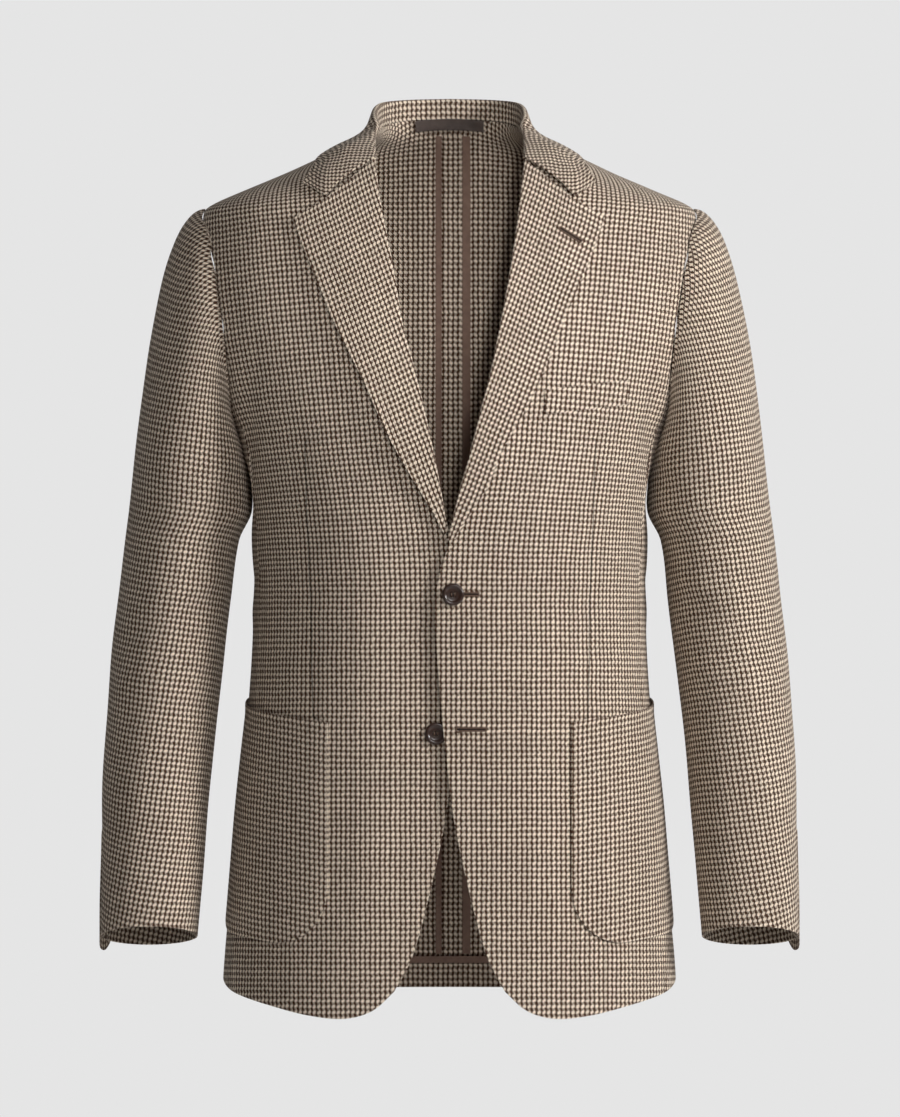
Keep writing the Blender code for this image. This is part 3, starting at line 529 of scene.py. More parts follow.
def sheetObject(name, points, uv, thickness, material, behind=None, rim=0.0004, extra=None):
    # A sheet through a grid of points, thickened towards what is behind it.
    rows, columns = points.shape[:2]
    grid = bmesh.new()
    bmesh.ops.create_grid(grid, x_segments=columns - 1, y_segments=rows - 1, size=0.5)
    mesh = bpy.data.meshes.new(name)
    grid.to_mesh(mesh)
    grid.free()
    flat = readAll(mesh.vertices, "co")
    i = np.rint((flat[:, 0] + 0.5) * (columns - 1)).astype(int)
    j = np.rint((flat[:, 1] + 0.5) * (rows - 1)).astype(int)
    mesh.vertices.foreach_set("co", points[j, i].ravel())
    loops = np.empty(len(mesh.loops), int)
    mesh.loops.foreach_get("vertex_index", loops)
    layer = mesh.uv_layers.new(name="cloth")
    layer.data.foreach_set("uv", uv[j, i][loops].ravel())
    for key, values in (extra or {}).items():
        attribute = mesh.attributes.new(key, "FLOAT", "POINT")
        attribute.data.foreach_set("value", values[j, i].ravel())
    middle = points[rows // 2, columns // 2]
    mesh.update()
    centres = readAll(mesh.polygons, "center")
    nearest = int(np.argmin(np.linalg.norm(centres - middle, axis=1)))
    if behind is None:
        behind = (0.0, 0.0, middle[2])
    if np.dot(mesh.polygons[nearest].normal, middle - np.array(behind)) < 0:
        mesh.flip_normals()
    mesh.shade_smooth()
    made = link(name, mesh)
    mesh.materials.append(material)
    assign(made.modifiers.new("wall", "SOLIDIFY"), thickness=thickness, offset=-1.0)
    if rim:
        assign(made.modifiers.new("rim", "BEVEL"), width=rim, segments=2, limit_method="ANGLE",
               angle_limit=math.radians(60), harden_normals=True)
    return made


def clothPiece(node, points, u, v, thickness=wall, behind=None, rim=0.0004, extra=None, **cut):
    made = sheetObject(f"{node}_cloth", points, np.stack((u, v), axis=-1), thickness, houndstooth,
                       behind, rim, extra)
    finish(made, "cloth", node, **cut)


def mirrored(points, side):
    return points * np.array((side, 1.0, 1.0))


def grainTilt(out, v):
    # Over the chest the checks lean out a little and fall towards the sleeve.
    rise = np.maximum(v - chestStart, 0.0)
    lean = 0.085 * rise * ease(rise / 0.16)
    fall = 0.065 * out * ease(rise / 0.16)
    return out - lean, v + fall


chestStart = 0.375

frontFolds = {
    "left": tenths(
        Fold,
        (350, 3950, 1500, 4700, 120, 10), (300, 3720, 1600, 3950, 100, -8),
        (450, 3520, 1700, 3300, 120, 9), (1750, 6200, 2150, 5000, 120, -16),
        (1950, 6100, 2350, 5200, 100, 10), (600, 2600, 1050, 600, 200, 9),
    ),
    "right": tenths(
        Fold,
        (300, 4000, 1500, 4800, 120, 10), (300, 3760, 1650, 4020, 100, -9),
        (400, 3500, 1700, 3250, 120, 9), (1750, 6250, 2150, 5000, 120, -17),
        (1950, 6100, 2380, 5150, 100, 10), (550, 2500, 1000, 500, 200, 9),
    ),
}


def ripple(u, v, height):
    # The cloth is never quite even.
    return height * (np.sin(31 * u + 17 * v) * np.sin(23 * v - 9 * u + 1.3)
                     + 0.5 * np.sin(67 * u - 21 * v + 2.1) * np.sin(51 * v + 1.7))


# Waist darts, as x and height from the chest to the pocket.
darts = {"left": ((0.1304, -0.2679), (0.1286, -0.3177), (0.1233, -0.5162)),
         "right": ((0.1295, -0.2679), (0.1275, -0.326), (0.1215, -0.5162))}


def dartDistance(name, out, v):
    line = []
    for x, z in darts[name]:
        angle, z = np.atleast_1d(angleAt(x, z)), np.atleast_1d(z)
        line.append((lookUp(upLength, angle, z)[0], lookUp(roundLength, angle, z)[0]))
    line = np.array(sorted(line))
    beyond = np.maximum(np.maximum(line[0, 0] - v, v - line[-1, 0]), 0.0)
    aside = out - np.interp(v, line[:, 0], line[:, 1])
    return np.hypot(aside, beyond) * np.where(beyond > 0, 1.0, np.sign(aside))


def frontPiece(name, side):
    panelEdge = rollRadius + 0.001
    line = [(float(column(rollLine, name, z)) + panelEdge, z)
            for z in np.linspace(lapelFoot[name] + 0.01, -0.0312, 9)]
    edge, roll = fromFront(frontEdge), fromFront(line)
    split, seamRows, frontRows = 4, 14, 9
    s, t = spaced(120, 0.26), spaced(176, 0.74)
    grid = patch(
        border((domain(hemFront), 12)),
        border((domain(shoulderSeam[::-1]), 12)),
        border((edge + roll[:split], seamRows), (roll[split - 1:] + domain(neckFront), frontRows)),
        border((domain(sideSeam), seamRows), (domain(armholeFront), frontRows)),
        s, t,
    )
    angle, z = grid[..., 0], grid[..., 1]
    out = np.sign(angle) * lookUp(roundLength, np.abs(angle), z)
    v = lookUp(upLength, np.abs(angle), z)
    lift = folds(frontFolds[name], out, v) + ripple(out * side, v, 0.00035)
    lift += edgeDrop(s, t, 0.26, 0.74, "rt") + edgeDrop(s, t, 0.26, 0.74, "lb", 0.0003)
    away = dartDistance(name, out, v)
    lift -= 0.0008 * np.exp(-(away / 0.006) ** 2)
    points = sunk(mirrored(onBody(angle, z, lift), side), side)
    u, v = grainTilt(out, v)
    clothPiece(f"front_{name}", points, side * u, v, extra={"dart": 1 + away}, flat=(0.3, 0.8),
               held="hung", area=0.152, rests_on=["collar_cloth"])


def sidePiece(name, side):
    s, t = spaced(46, 0.12), spaced(120, 0.53)
    grid = patch(
        border((domain(hemSide), 5)), border((domain(armholeUnder), 5)),
        border((domain(sideSeam), 14)), border((domain(backSideSeam), 14)), s, t,
    )
    angle, z = grid[..., 0], grid[..., 1]
    out, v = lookUp(roundLength, angle, z), lookUp(upLength, angle, z)
    table = tenths(
        Fold,
        (2150, 4200, 3300, 3750, 120, -11), (2150, 3700, 3300, 4050, 110, 9),
        (2350, 5200, 3000, 4400, 140, -12),
    )
    lift = folds(table, out, v) + ripple(out * side, v, 0.0004) + edgeDrop(s, t, 0.12, 0.53)
    # The sleeve presses the panel in a little under the arm.
    around = np.clip(1 - ((np.degrees(angle) - 91.0) / 14.5) ** 2, 0, 1)
    lift -= 0.0072 * around * np.exp(-((z + 0.312) / 0.027) ** 2)
    clothPiece(f"side_{name}", mirrored(onBody(angle, z, lift), side), side * out, v,
               flat=(0.16, 0.54), held="hung", area=0.0605, rests_on=[f"front_{name}_cloth"])


def backPiece(name, side):
    s, t = spaced(96, 0.25), spaced(168, 0.77)
    grid = patch(
        border((domain(hemBack[::-1]), 12)),
        border((domain(neckBack[::-1]), 12)),
        border((domain([(180.0, -0.757), (180.0, -0.212)]), 14),
               (domain([(180.0, -0.212), (180.0, -0.05)]), 8),
               (domain([(180.0, -0.05), (180.0, 0.0205)]), 6)),
        border((domain(backSideSeam), 14), (domain(armholeBack), 8), (domain(shoulderSeam), 6)),
        s, t,
    )
    angle, z = grid[..., 0], grid[..., 1]
    centre = lookUp(roundLength, np.full_like(angle, math.pi), z)
    out, v = centre - lookUp(roundLength, angle, z), lookUp(upLength, angle, z)
    table = tenths(
        Fold,
        (100, 3500, 1500, 4200, 130, 13), (120, 3780, 1550, 4500, 110, -13),
        (150, 4050, 1400, 4800, 120, 10), (1700, 7000, 1900, 5400, 130, 14),
        (1500, 6900, 1720, 5600, 110, -12), (850, 2400, 1100, 400, 220, 10),
        (200, 7700, 1200, 7900, 100, -7),
    )
    lift = folds(table, out, v) + ripple(out * side, v, 0.0004) + edgeDrop(s, t, 0.25, 0.77)
    clothPiece(f"back_{name}", mirrored(onBody(angle, z, lift), side), -side * out, v,
               flat=(0.24, 0.79), held="hung", area=0.157, rests_on=["collar_cloth"])


def frontPoint(x, z, out, side=1):
    # The point (x, z) of the front view, on a layer that lies this far above the front.
    x, z = np.broadcast_arrays(np.asarray(x, float), np.asarray(z, float))
    baseX, baseZ = x.copy(), z.copy()
    for _ in range(5):
        point = onBody(angleAt(baseX, baseZ), baseZ, out)
        baseX = baseX + x - point[..., 0]
        baseZ = baseZ + z - point[..., 2]
    return sunk(mirrored(point, side), side)


def refined(controls, places):
    # Reads a smooth curve through control points that run along the second axis.
    knots = np.arange(controls.shape[1], dtype=float)
    swapped = controls.transpose(1, 0, 2).reshape(controls.shape[1], -1)
    made = smooth(knots, swapped, places)
    return made.reshape(len(places), controls.shape[0], 3).transpose(1, 0, 2)


def gridLengths(points, column0, row0=0):
    # Lengths along the rows and the columns of a grid of points.
    along = np.zeros(points.shape[:2])
    along[:, 1:] = np.cumsum(np.linalg.norm(np.diff(points, axis=1), axis=-1), axis=1)
    up = np.zeros(points.shape[:2])
    up[1:] = np.cumsum(np.linalg.norm(np.diff(points, axis=0), axis=-1), axis=0)
    return along - along[:, column0:column0 + 1], up - up[row0:row0 + 1]


def lapelPiece(name, side):
    rows = 130
    foot, gorge = lapelFoot[name], -0.017
    line = [(float(column(rollLine, name, z)), z) for z in np.linspace(foot, gorge, 10)]
    edge = lapelEdge[name]
    gap = 0.0002 / 0.33
    s, t = np.linspace(0, 1, 13), np.linspace(gap, 1 - gap, rows + 1)
    grid = patch(
        border(([line[0], edge[0]], 6)),
        border(([line[-1], notch], 4), ([notch, edge[-1]], 2)),
        border((line, 16)), border((edge, 16)), s, t,
    )
    tall = t[:, None]
    lift = lapelLift[name] * np.sin(math.pi * np.minimum(tall * 1.15, 1.0))
    curl = rollRadius * ease(0.35 + 3 * tall)
    x, z, w = grid[..., 0], grid[..., 1], s[None]
    x0, z0 = x[:, :1], z[:, :1]
    shift = curl * 0.5 * (1 - w) ** 8
    flat = frontPoint(x + shift, z, lapelOut + lift * w**1.5, side)
    inner = frontPoint(x0 + curl * 0.9, z0, -0.0006, side)
    turn = frontPoint(x0, z0, 0.45 * lapelOut, side)
    controls = np.concatenate((inner, turn, flat), axis=1)
    places = np.concatenate((np.linspace(0, 3, 13), np.linspace(3, 13.9, 33)[1:],
                             (13.95, 13.985)))
    points = refined(controls, places)
    lean = math.radians(22.5)
    up = points[..., 2] + 0.36
    across = points[:, 3:4, 0] * side + gridLengths(points, 3)[0]
    u = across * math.cos(lean) - up * math.sin(lean)
    v = across * math.sin(lean) + up * math.cos(lean)
    clothPiece(f"lapel_{name}", points, side * u, v, lapelWall, rim=0.0005, flat=(0.1, 0.36),
               held="folded", area=0.0165, rests_on=[f"front_{name}_cloth"])


def clearOfBody(point, clearance):
    x, y, z = point[..., 0], point[..., 1], point[..., 2]
    angle, distance = np.arctan2(x, -y), np.hypot(x, y)
    slope = (radius(angle, z + 0.002) - radius(angle, z - 0.002)) / 0.004
    short = clearance * np.hypot(1.0, slope) - (distance - radius(angle, z))
    distance = distance + np.maximum(short, 0.0)
    return np.stack((distance * np.sin(angle), -distance * np.cos(angle), z), axis=-1)


def collarPiece():
    steps = np.linspace(-1, 1, 161)
    steps = steps * (1 - 0.0007)
    away = np.abs(steps)
    row = {name: column(collarRows, name, away, "step") for name in CollarRow._fields[1:]}
    fold, mid, edge = (np.radians(row[k]) for k in ("fold", "mid", "edge"))
    tall = row["foldZ"] - row["seamZ"]
    curl = np.minimum(0.0035, 0.45 * tall)
    inner, out = -wall, foldHalf * 2 - wall
    over = onBody(fold, row["foldZ"] - curl, out + 0.0006)
    middle = onBody(mid, row["midZ"], collarOut + 0.0008)
    rim = onBody(edge, row["edgeZ"], collarRim)
    tops = [onBody(fold, height, depth) for height, depth in (
        (row["seamZ"] + standGap, inner),
        (row["seamZ"] + 0.5 * (tall - curl), inner),
        (row["foldZ"] - curl, inner),
        (row["foldZ"] - 0.25 * curl, inner + 0.35 * foldHalf),
        (row["foldZ"], inner + foldHalf),
        (row["foldZ"] - 0.25 * curl, out - 0.35 * foldHalf),
    )]
    controls = np.stack((
        *tops,
        over,
        clearOfBody(over * 0.67 + middle * 0.33, collarOut + 0.0012),
        clearOfBody(over * 0.33 + middle * 0.67, collarOut + 0.0012),
        middle,
        clearOfBody(middle * 0.5 + rim * 0.5, 0.5 * (collarOut + collarRim)),
        rim,
    ), axis=1)
    # In front of the shoulder seam the fold runs straight down into the roll of the lapel.
    aside = (neckHalf - controls[:, 4, 0]) * ease((away - 0.58) / 0.14)
    controls[:, :8, 0] += aside[:, None] * np.array((0.2, 0.6, 1.0, 1.0, 1.0, 1.0, 1.0, 0.5))
    controls[..., 0] *= np.where(steps < 0, -1, 1)[:, None]
    places = np.concatenate((np.linspace(0, 10.9, 56), (10.94, 10.98)))
    points = refined(controls, places).transpose(1, 0, 2)
    centre = len(steps) // 2
    along, up = gridLengths(points, centre)
    behind = points[len(places) // 2, centre] - np.array((0.0, 0.02, 0.0))
    clothPiece("collar", points, along, -up, collarWall, behind, 0.0005, flat=(0.46, 0.095),
               held="folded", area=0.0295)


def ringPoint(turn, z):
    turn, z = np.broadcast_arrays(np.radians(turn), np.asarray(z, float))
    row = {name: column(sleeveRings, name, z) for name in Ring._fields[1:]}
    return np.stack((
        row["centre"] + row["half"] * np.cos(turn),
        row["centreY"] - row["halfY"] * np.sin(turn),
        z + row["lean"] * row["halfY"] * np.sin(turn),
    ), axis=-1)


armholeSteps = (9, 5, 8)
foreseam, hindseam = 11, 18
armholeCount = sum(armholeSteps)
armholeLine = border(*((domain(points), steps) for points, steps in zip(
    (armholeFront[::-1], armholeUnder, armholeBack), armholeSteps)))


def armholeAt(k):
    # The armhole's points at these steps round it, with their turns: 0 the top, 90 the front.
    ring = armholeLine(k / armholeCount)
    points = onBody(ring[:, 0], ring[:, 1])
    whole = armholeLine(np.linspace(0, 1, armholeCount + 1))
    middleZ = (whole[:, 1].min() + whole[:, 1].max()) / 2
    turns = np.degrees(np.arctan2(-points[:, 1], points[:, 2] - middleZ))
    turns = np.where(k > armholeSteps[0], turns % 360.0, turns)
    return points, np.where(k >= armholeCount - 1e-9, 360.0, turns)


sleeveFolds = {
    "top": tenths(
        Fold,
        (-500, -1100, 600, -1500, 110, -22), (-600, -850, 450, -1180, 100, 18),
        (-450, -1650, 650, -1900, 120, 18), (-500, -2050, 500, -2150, 120, -16),
        (-600, 100, 100, -600, 130, -15), (-700, 450, -100, -200, 120, 14),
        (-300, -2500, 600, -2900, 160, 12), (200, 1100, 350, -100, 180, 10),
    ),
    "under": tenths(
        Fold,
        (-500, -1000, 500, -1250, 100, -14), (-500, -1300, 500, -1400, 100, 12),
        (-450, -1650, 450, -1600, 110, -11), (-400, 300, 400, 50, 120, 11),
    ),
}


def sleevePiece(part, name, side):
    upper = part == "top"
    columns, wide = (110, 0.19) if upper else (60, 0.1)
    s = spaced(columns, wide)
    if upper:
        k = (hindseam + s * (armholeCount - hindseam + foreseam)) % armholeCount
    else:
        k = foreseam + s * (hindseam - foreseam)
    points, turns = armholeAt(k)
    turns = np.where(upper & (k >= hindseam - 1e-6), turns - 360.0, turns)
    ends = armholeAt(np.array((float(foreseam), float(hindseam))))[1]
    headRows, armRows = 46, 104
    t = np.concatenate((np.linspace(0.003, 1, headRows + 1), np.linspace(0, 1, armRows + 1)[1:]))
    fore, hind = ends[0], ends[1] - 360.0
    rows = []

    def span(hindTurn):
        return (hindTurn, fore) if upper else (fore, hindTurn + 360.0)

    first, last = span(hind)
    share = (turns - first) / (last - first)
    for j, value in enumerate(t):
        fall = value if j > headRows else 0.0
        first, last = span(hind + (hindseamCuff - hind) * ease(fall))
        turn = first + (last - first) * share
        if j > headRows:
            rows.append(ringPoint(turn, ringTop + (cuffZ + 0.0005 - ringTop) * fall))
            continue
        lift = value**1.15
        upward = (1 + np.cos(np.radians(turns))) / 2
        leave = np.stack((np.ones_like(turns), -0.55 * np.sin(np.radians(turns)),
                          np.zeros_like(turns)), axis=-1)
        leave /= np.linalg.norm(leave, axis=-1, keepdims=True)
        start = points + leave * 0.0006
        end = ringPoint(turn, ringTop)
        leave = leave * (capOutUnder + (capOut - capOutUnder) * upward)[:, None]
        arrive = (end - ringPoint(turn, ringTop - 0.03)) / 0.03 * -1.25
        arrive = arrive * (start[:, 2:] - ringTop)
        rows.append(
            (2 * lift**3 - 3 * lift**2 + 1) * start + (lift**3 - 2 * lift**2 + lift) * leave
            + (3 * lift**2 - 2 * lift**3) * end + (lift**3 - lift**2) * arrive
        )
    grid = np.array(rows)
    frontColumn = int(np.argmin(np.abs(turns - 90.0))) if upper else len(s) // 2
    along, down = gridLengths(grid, frontColumn, headRows)
    outward, v = -along if upper else along, -down
    # Normals of the grid, outwards from the sleeve's axis.
    normal = np.cross(np.gradient(grid, axis=1), np.gradient(grid, axis=0))
    normal /= np.linalg.norm(normal, axis=-1, keepdims=True)
    axis = np.stack((column(sleeveRings, "centre", grid[..., 2]),
                     column(sleeveRings, "centreY", grid[..., 2]), grid[..., 2]), axis=-1)
    facing = np.sign(np.sum((normal * (grid - axis))[headRows:]))
    fadeCuff = np.clip((v - v.min()) / 0.03, 0, 1)
    fadeHead = np.clip(np.arange(len(t)) / 12.0, 0, 1)[:, None]
    lift = folds(sleeveFolds[part], outward, v) * fadeCuff * fadeHead
    lift += ripple(outward * side + 0.4, v, 0.0004) * fadeHead
    lift += edgeDrop(s, np.linspace(0, 1, len(t)), wide, 0.65, "lr")
    grid = grid + normal * facing * lift[..., None]
    # The checks lean out with the sleeve.
    lean = np.radians(np.interp(v, (-0.42, -0.2, 0.0, 0.2), (6.4, 5.0, 2.0, 1.0)))
    u, v = outward + np.tan(lean) * v, v - 0.14 * outward
    middle = axis[len(t) // 2, len(s) // 2]
    cut = {"flat": (0.26, 0.68), "area": 0.126,
           "rests_on": [f"front_{name}_cloth", f"back_{name}_cloth"]}
    if not upper:
        cut = {"flat": (0.16, 0.6), "area": 0.0615, "rests_on": [f"side_{name}_cloth"]}
    clothPiece(f"sleeve_{part}_{name}", mirrored(grid, side), side * u, v,
               behind=mirrored(middle, side), held="hung", **cut)


def ventPiece(name, side):
    s, t = np.linspace(0, 1, 29), np.linspace(0, 1, 61)
    w, tall = np.meshgrid(s, t)
    drop = ventDrop * (1 - np.abs(2 * w - 1) ** 3)
    turn = ventTurns[0] + (ventTurns[1] - ventTurns[0]) * w
    rise = ventLength * tall - drop * (1 - tall) ** 3
    z = cuffZ + np.maximum(rise, 0.0)
    point, across = ringPoint(turn, z), ringPoint(turn + 180.0, z)
    away = point - across
    away /= np.linalg.norm(away, axis=-1, keepdims=True)
    flush = ease(np.minimum(np.minimum(w, 1 - w) / 0.12, (1 - tall) / 0.06))[..., None]
    point = point + away * (0.0006 + 0.0004 * flush)
    point[..., 2] += np.minimum(rise, 0.0)
    along, up = gridLengths(point, 0)
    behind = mirrored(np.array((0.26, -0.02, cuffZ + 0.04)), side)
    clothPiece(f"vent_{name}", mirrored(point, side), -side * along, up, 0.0005, behind, 0.0002,
               flat=(0.035, 0.108), held="laid", area=0.0034,
               rests_on=[f"sleeve_top_{name}_cloth"])


pocket = {"width": 0.172, "inner": 0.108, "topInner": -0.5183, "topOuter": -0.496,
          "footInner": -0.7205, "footOuter": -0.699, "corner": 0.055, "bulge": 0.0026}


def pocketPiece(name, side):
    s, t = np.linspace(0, 1, 81), np.linspace(0, 1, 91)
    w, tall = np.meshgrid(s, t)
    edge = np.minimum(w, 1 - w) * pocket["width"]
    short = np.maximum(pocket["corner"] - edge, 0.0)
    corner = pocket["corner"] - np.sqrt(pocket["corner"] ** 2 - short**2)
    top = pocket["topInner"] + (pocket["topOuter"] - pocket["topInner"]) * w
    foot = pocket["footInner"] + (pocket["footOuter"] - pocket["footInner"]) * w + corner
    z = foot + (top - foot) * tall
    start = angleAt(pocket["inner"] + 0 * z, z)
    goal = lookUp(roundLength, start, z) + w * pocket["width"]
    angle = start + w * pocket["width"] / 0.17
    for _ in range(6):
        angle = angle + (goal - lookUp(roundLength, angle, z)) / 0.17
    bulge = pocket["bulge"] * np.sin(math.pi * w) * np.sin(math.pi * (0.15 + 0.7 * tall))
    lift = wall + layerGap + bulge
    lift += ripple(w * pocket["width"] + side, z, 0.0002) * np.sin(math.pi * w)
    lift += 0.001 * np.exp(-((1 - tall) / 0.03) ** 2) * np.sin(math.pi * w) ** 0.5
    slope = pocket["topOuter"] - pocket["topInner"]
    clothPiece(f"pocket_{name}", mirrored(onBody(angle, z, lift), side),
               side * w * pocket["width"], z - slope * w, rim=0.0005, flat=(0.175, 0.215),
               held="laid", area=0.034, rests_on=[f"front_{name}_cloth", f"side_{name}_cloth"])


def weltPiece():
    (x0, z0), (x1, z1) = (0.085, -0.2225), (0.159, -0.2136)
    s, t = np.linspace(0, 1, 41), np.linspace(0, 1, 13)
    w, tall = np.meshgrid(s, t)
    x, z = x0 + (x1 - x0) * w, z0 + (z1 - z0) * w - 0.022 * (1 - tall)
    points = frontPoint(x, z, wall + layerGap)
    angle = np.arctan2(points[..., 0], -points[..., 1])
    u, v = grainTilt(lookUp(roundLength, angle, z), lookUp(upLength, angle, z))
    clothPiece("chest_welt", points, u, v, rim=0.0005, flat=(0.086, 0.022), held="laid",
               area=0.00185, rests_on=["front_left_cloth"])


def insideBack(x, z, out):
    share = np.abs(x) / column(torso, "half", z)
    depth = column(torso, "back", z) * (1 - share**backPower) ** (1 / backPower)
    return onBody(math.pi - np.arctan2(x, depth), z, -np.asarray(out))


stripWall = 0.001
stripOut = wall + 0.001 + stripWall


def innerStrip(node, points, u, v, material, slot, behindZ, **cut):
    made = sheetObject(f"{node}_strip", points, np.stack((u, v), axis=-1), stripWall, material,
                       (0.0, 0.4, behindZ), rim=0.0002)
    finish(made, slot, node, held="laid", **cut)


def stripPiece(name, left, right, material, slot, cut):
    s, t = np.linspace(0, 1, 9), np.linspace(0, 1, 200)
    w, tall = np.meshgrid(s, t)
    top, foot = 0.0068, -0.727
    gap = 0.0003
    x = left + gap + (right - left - 2 * gap) * w
    z = foot + (top - foot) * tall
    points = insideBack(x, z, stripOut)
    angle = np.arctan2(x, -points[..., 1])
    innerStrip(name, points, -x, lookUp(upLength, np.abs(angle), z), material, slot,
               points[100, 0, 2], flat=cut, area=0.9 * (right - left) * (top - foot),
               rests_on=["back_left_cloth", "back_right_cloth"])


def hemPiece(name, top, foot, material, slot, cut, area):
    s, t = np.linspace(0, 1, 161), np.linspace(0, 1, 9)
    w, tall = np.meshgrid(s, t)
    reach = math.radians(62.0)
    angle = math.pi - reach + 2 * reach * w
    away = np.minimum(np.degrees(angle), 360 - np.degrees(angle))
    fall = smooth([p[0] for p in hemBack], [p[1] for p in hemBack], away)
    z = fall + foot + 0.0003 + (top - foot - 0.0006) * tall
    points = onBody(angle, z, -stripOut)
    along, up = gridLengths(points, len(s) // 2)
    innerStrip(name, points, along, up, material, slot, points[4, 80, 2], flat=cut, area=area,
               rests_on=["back_left_cloth", "back_right_cloth"])


def loopPiece():
    s, t = np.linspace(-1, 1, 61), np.linspace(0, 1, 9)
    share, tall = np.meshgrid(s, t)
    z = 0.0222 - 0.0024 * share**2 - 0.009 * (1 - tall)
    out = stripOut + layerGap + 0.001 + 0.0012 * (1 - share**2)
    points = insideBack(0.032 * share, z, out)
    along, up = gridLengths(points, 30)
    innerStrip("hanger_loop", points, up, along, darkSatin, "satin", 0.0222, flat=(0.064, 0.01),
               area=0.00058, rests_on=["collar_cloth"])


for name, side in (("left", 1), ("right", -1)):
    frontPiece(name, side)
    sidePiece(name, side)
    backPiece(name, side)
    lapelPiece(name, side)
    sleevePiece("top", name, side)
    sleevePiece("under", name, side)
    ventPiece(name, side)
    pocketPiece(name, side)
collarPiece()
weltPiece()
print("cloth pieces made")

stripPiece("seam_tape_right", -0.0129, -0.0067, bindingTape, "tape", (0.01, 0.745))
stripPiece("seam_allowance", -0.0067, 0.0111, houndstooth, "cloth", (0.018, 0.745))
stripPiece("seam_tape_left", 0.0111, 0.0191, bindingTape, "tape", (0.01, 0.745))
hemPiece("hem_facing", 0.0215, 0.0004, houndstooth, "cloth", (0.36, 0.022), 0.0075)
hemPiece("hem_tape", 0.0285, 0.0215, bindingTape, "tape", (0.36, 0.01), 0.0024)
loopPiece()
print("inside strips made")


def tube(name, points, depth, closed=False):
    curve = bpy.data.curves.new(name, "CURVE")
    assign(curve, dimensions="3D", bevel_depth=depth, bevel_resolution=2, use_fill_caps=True)
    spline = curve.splines.new("POLY")
    spline.points.add(len(points) - 1)
    for spot, point in zip(spline.points, points):
        spot.co = (*point, 1.0)
    spline.use_cyclic_u = closed
    curve.materials.append(thread)
    ride(link(name, curve))


slitHalf, twistHalf = 0.0013, 0.00075


def buttonhole(name, start, end, out, eyelet=0.0):
    # A worked slit: a round cord of twist about it, with a round eye at its start if it has one,
    # and along it a near-black sheet that is painted shade inside the opening.
    (x0, z0), (x1, z1) = start, end
    length = math.hypot(x1 - x0, z1 - z0)
    ux, uz = (x1 - x0) / length, (z1 - z0) / length
    outline = []
    for k in range(24):
        turn = math.pi / 2 + math.pi * k / 23
        size = slitHalf + eyelet
        outline.append((size * math.cos(turn) + eyelet, size * math.sin(turn)))
    for k in range(13):
        outline.append((eyelet * 2 + (length - 2 * eyelet) * k / 12, -slitHalf))
    for k in range(13):
        outline.append((length - (length - 2 * eyelet) * k / 12, slitHalf))

    def lay(along, across, high):
        return frontPoint(x0 + along * ux - across * uz, z0 + along * uz + across * ux, out + high)

    along, across = np.array(outline).T
    tube(f"{name}_twist", lay(along, across, 0.0002), twistHalf, closed=True)
    # The slit is a thin near-black sheet over the cloth: painted shade inside the opening.
    along = np.linspace(0, 1, 15) * length
    row = np.stack([lay(along, k * slitHalf * 0.7, 0.00025) for k in (-1, 0, 1)])
    uv = np.zeros(row.shape[:2] + (2,))
    ride(sheetObject(f"{name}_slit_shade", row, uv, 0.0003, slitShade, rim=0))


buttonhole("top_buttonhole", (0.0085, -0.4042), (0.0262, -0.4042), 0.0)
buttonhole("lower_buttonhole", (0.007, -0.5243), (0.0325, -0.5243), 0.0, eyelet=0.0011)
buttonhole("lapel_buttonhole", (0.0988, -0.079), (0.1175, -0.0905), lapelOut + 0.0008)


# The button's outline, as its radius and its height.
buttonProfile = tenths(
    Point,
    (0, 22), (54, 22), (62, 24), (68, 28), (74, 31), (81, 32), (88, 31), (94, 27), (98, 21),
    (99, 14), (97, 9), (91, 4), (80, 1), (66, 0), (0, 0),
)
buttonHole, buttonHoleOut, buttonOff = 0.0011, 0.0021, 0.0006


def turned(profile, steps):
    # A closed mesh with this outline of radius and height, turned about the z axis.
    made = bmesh.new()
    line = [made.verts.new((r, 0.0, h)) for r, h in profile]
    edges = [made.edges.new(ends) for ends in zip(line, line[1:])]
    bmesh.ops.spin(made, geom=line + edges, cent=(0.0, 0.0, 0.0), axis=(0.0, 0.0, 1.0),
                   angle=math.tau, steps=steps, use_merge=True)
    bmesh.ops.remove_doubles(made, verts=made.verts, dist=1e-6)
    bmesh.ops.recalc_face_normals(made, faces=made.faces)
    mesh = bpy.data.meshes.new("turned")
    made.to_mesh(mesh)
    made.free()
    return mesh


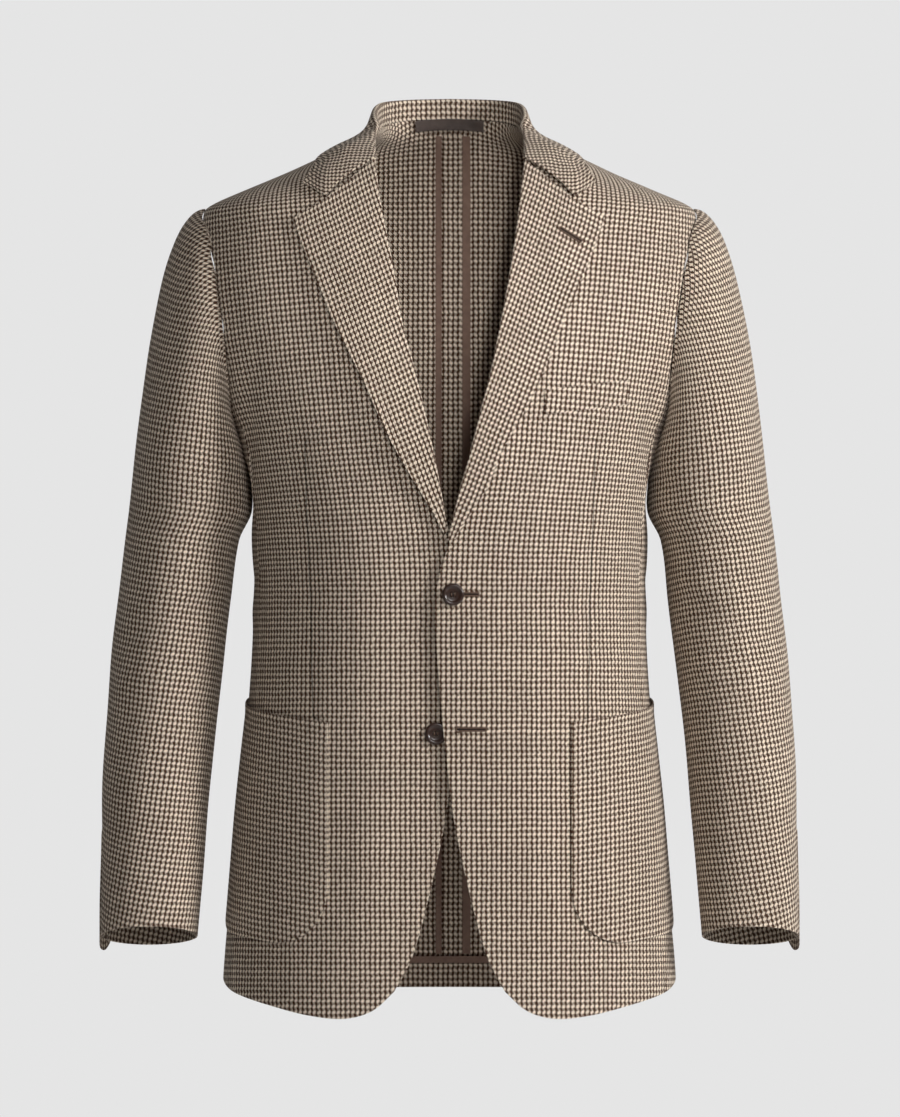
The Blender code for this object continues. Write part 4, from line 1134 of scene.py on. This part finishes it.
def sewnButton(name, at, side):
    # A turned horn button with four holes, and two bars of twist through them.
    under = Vector(frontPoint(at[0] * side, at[1], 0.0, side))
    ahead = Vector(frontPoint(at[0] * side, at[1], 0.01, side))
    normal = (ahead - under).normalized()
    across = normal.cross(Vector((0.0, 0.0, 1.0))).normalized()
    up = across.cross(normal)
    body = link(f"{name}_body", turned(buttonProfile, 72))
    rod = ((0.0, 0.006), (buttonHole, 0.006), (buttonHole, -0.003), (0.0, -0.003))
    cutters = []
    for k in range(4):
        turn = math.radians(45 + 90 * k)
        x, y = buttonHoleOut * math.cos(turn), buttonHoleOut * math.sin(turn)
        cutters.append(link("holeCutter", turned(rod, 20)))
        cutters[-1].location = (x, y, 0.0)
        assign(body.modifiers.new("hole", "BOOLEAN"), operation="DIFFERENCE", solver="EXACT",
               object=cutters[-1])
    bpy.context.view_layer.update()
    seen = bpy.context.evaluated_depsgraph_get()
    mesh = bpy.data.meshes.new_from_object(body.evaluated_get(seen))
    for gone in cutters + [body]:
        bpy.data.objects.remove(gone)
    turn = Matrix((-across, up, normal)).transposed().to_4x4()
    mesh.transform(Matrix.Translation(under + normal * buttonOff) @ turn)
    mesh.shade_smooth()
    mesh.set_sharp_from_angle(angle=math.radians(50))
    mesh.materials.clear()
    mesh.materials.append(horn)
    finish(link(f"{name}_horn", mesh), "horn", name)
    high = buttonOff + 0.0022
    hole = buttonHoleOut * math.cos(math.radians(45))
    for k in (-1, 1):
        bar = []
        for step in range(-6, 7):
            share = step / 6
            rise = high + 0.0006 * (1 - share**4) - 0.0012 * (abs(share) == 1)
            bar.append(under + normal * rise + up * (hole * share) + across * (hole * k))
        tube(f"{name}_twist_{'left' if k < 0 else 'right'}", bar, 0.00042)


sewnButton("button_top", topButton, 1)
sewnButton("button_lower", lowerButton, -1)
print("buttons and buttonholes made")

# A pale floor, soft light from ahead and from the right, and a long lens level with the garment.
floorZ, floorHalf = -1.6, 12.0
floorGrid = bmesh.new()
bmesh.ops.create_grid(floorGrid, x_segments=1, y_segments=1, size=floorHalf,
                      matrix=Matrix.Translation((0.0, 0.0, floorZ)))
floorMesh = bpy.data.meshes.new("floor")
floorGrid.to_mesh(floorMesh)
floorGrid.free()
floorMesh.materials.append(plainMaterial("pale paper", "dcdcdc", 0.9, 900.0))
link("studioFloor", floorMesh)


def studioLight(name, at, aim, size, power, cone=None):
    light = bpy.data.lights.new(name, "SPOT" if cone else "AREA")
    light.energy = power
    if cone:
        assign(light, shadow_soft_size=size / 2, spot_size=cone, spot_blend=1.0)
    else:
        light.size = size
    turn = (Vector(aim) - Vector(at)).to_track_quat("-Z", "Y").to_euler()
    assign(link(name, light), location=at, rotation_euler=turn)


studioLight("key", (0.73, -4.0, 1.0), (0.0, 0.0, -0.35), 0.9, 46.0)
studioLight("side", (3.4, -2.0, 0.9), (0.0, 0.0, -0.35), 0.9, 134.0)
studioLight("neck", (0.25, -4.0, 0.1), (0.004, 0.0, -0.13), 0.3, 320.0, math.radians(5.0))
# Dim grey all round, and pale behind the garment.
world = bpy.data.worlds.new("studio")
world.use_nodes = True
sky = world.node_tree
direction = add(sky, "ShaderNodeTexCoord").outputs["Generated"]
ahead = add(sky, "ShaderNodeSeparateXYZ", Vector=direction).outputs[1]
glow = add(sky, "ShaderNodeMapRange", {"interpolation_type": "SMOOTHSTEP"}, Value=ahead,
           i1=0.05, i2=0.97, i3=0.085, i4=0.784).outputs[0]
sky.links.new(glow, sky.nodes["Background"].inputs["Strength"])
sky.nodes["Background"].inputs["Color"].default_value = (1.0, 1.0, 1.0, 1.0)
bpy.context.scene.world = world
bpy.context.scene.view_settings.view_transform = "Standard"

pixel = 0.00089  # metres to a pixel of the photograph, which is 900 x 1117
photoHeight, photoOrigin = 1117, 140  # the origin lies this many pixels below the top
distance, nearPlane = 26.0, 0.07
lens = bpy.data.cameras.new("camera")
lens.sensor_width = 36.0
lens.lens = 36.0 * (distance - nearPlane) / (photoHeight * pixel)
lens.clip_end = 80.0
camera = link("camera", lens)
camera.location = (0.0004, -distance, (photoOrigin - photoHeight / 2) * pixel)
camera.rotation_euler = (math.radians(90), 0.0, 0.0)
bpy.context.scene.camera = camera
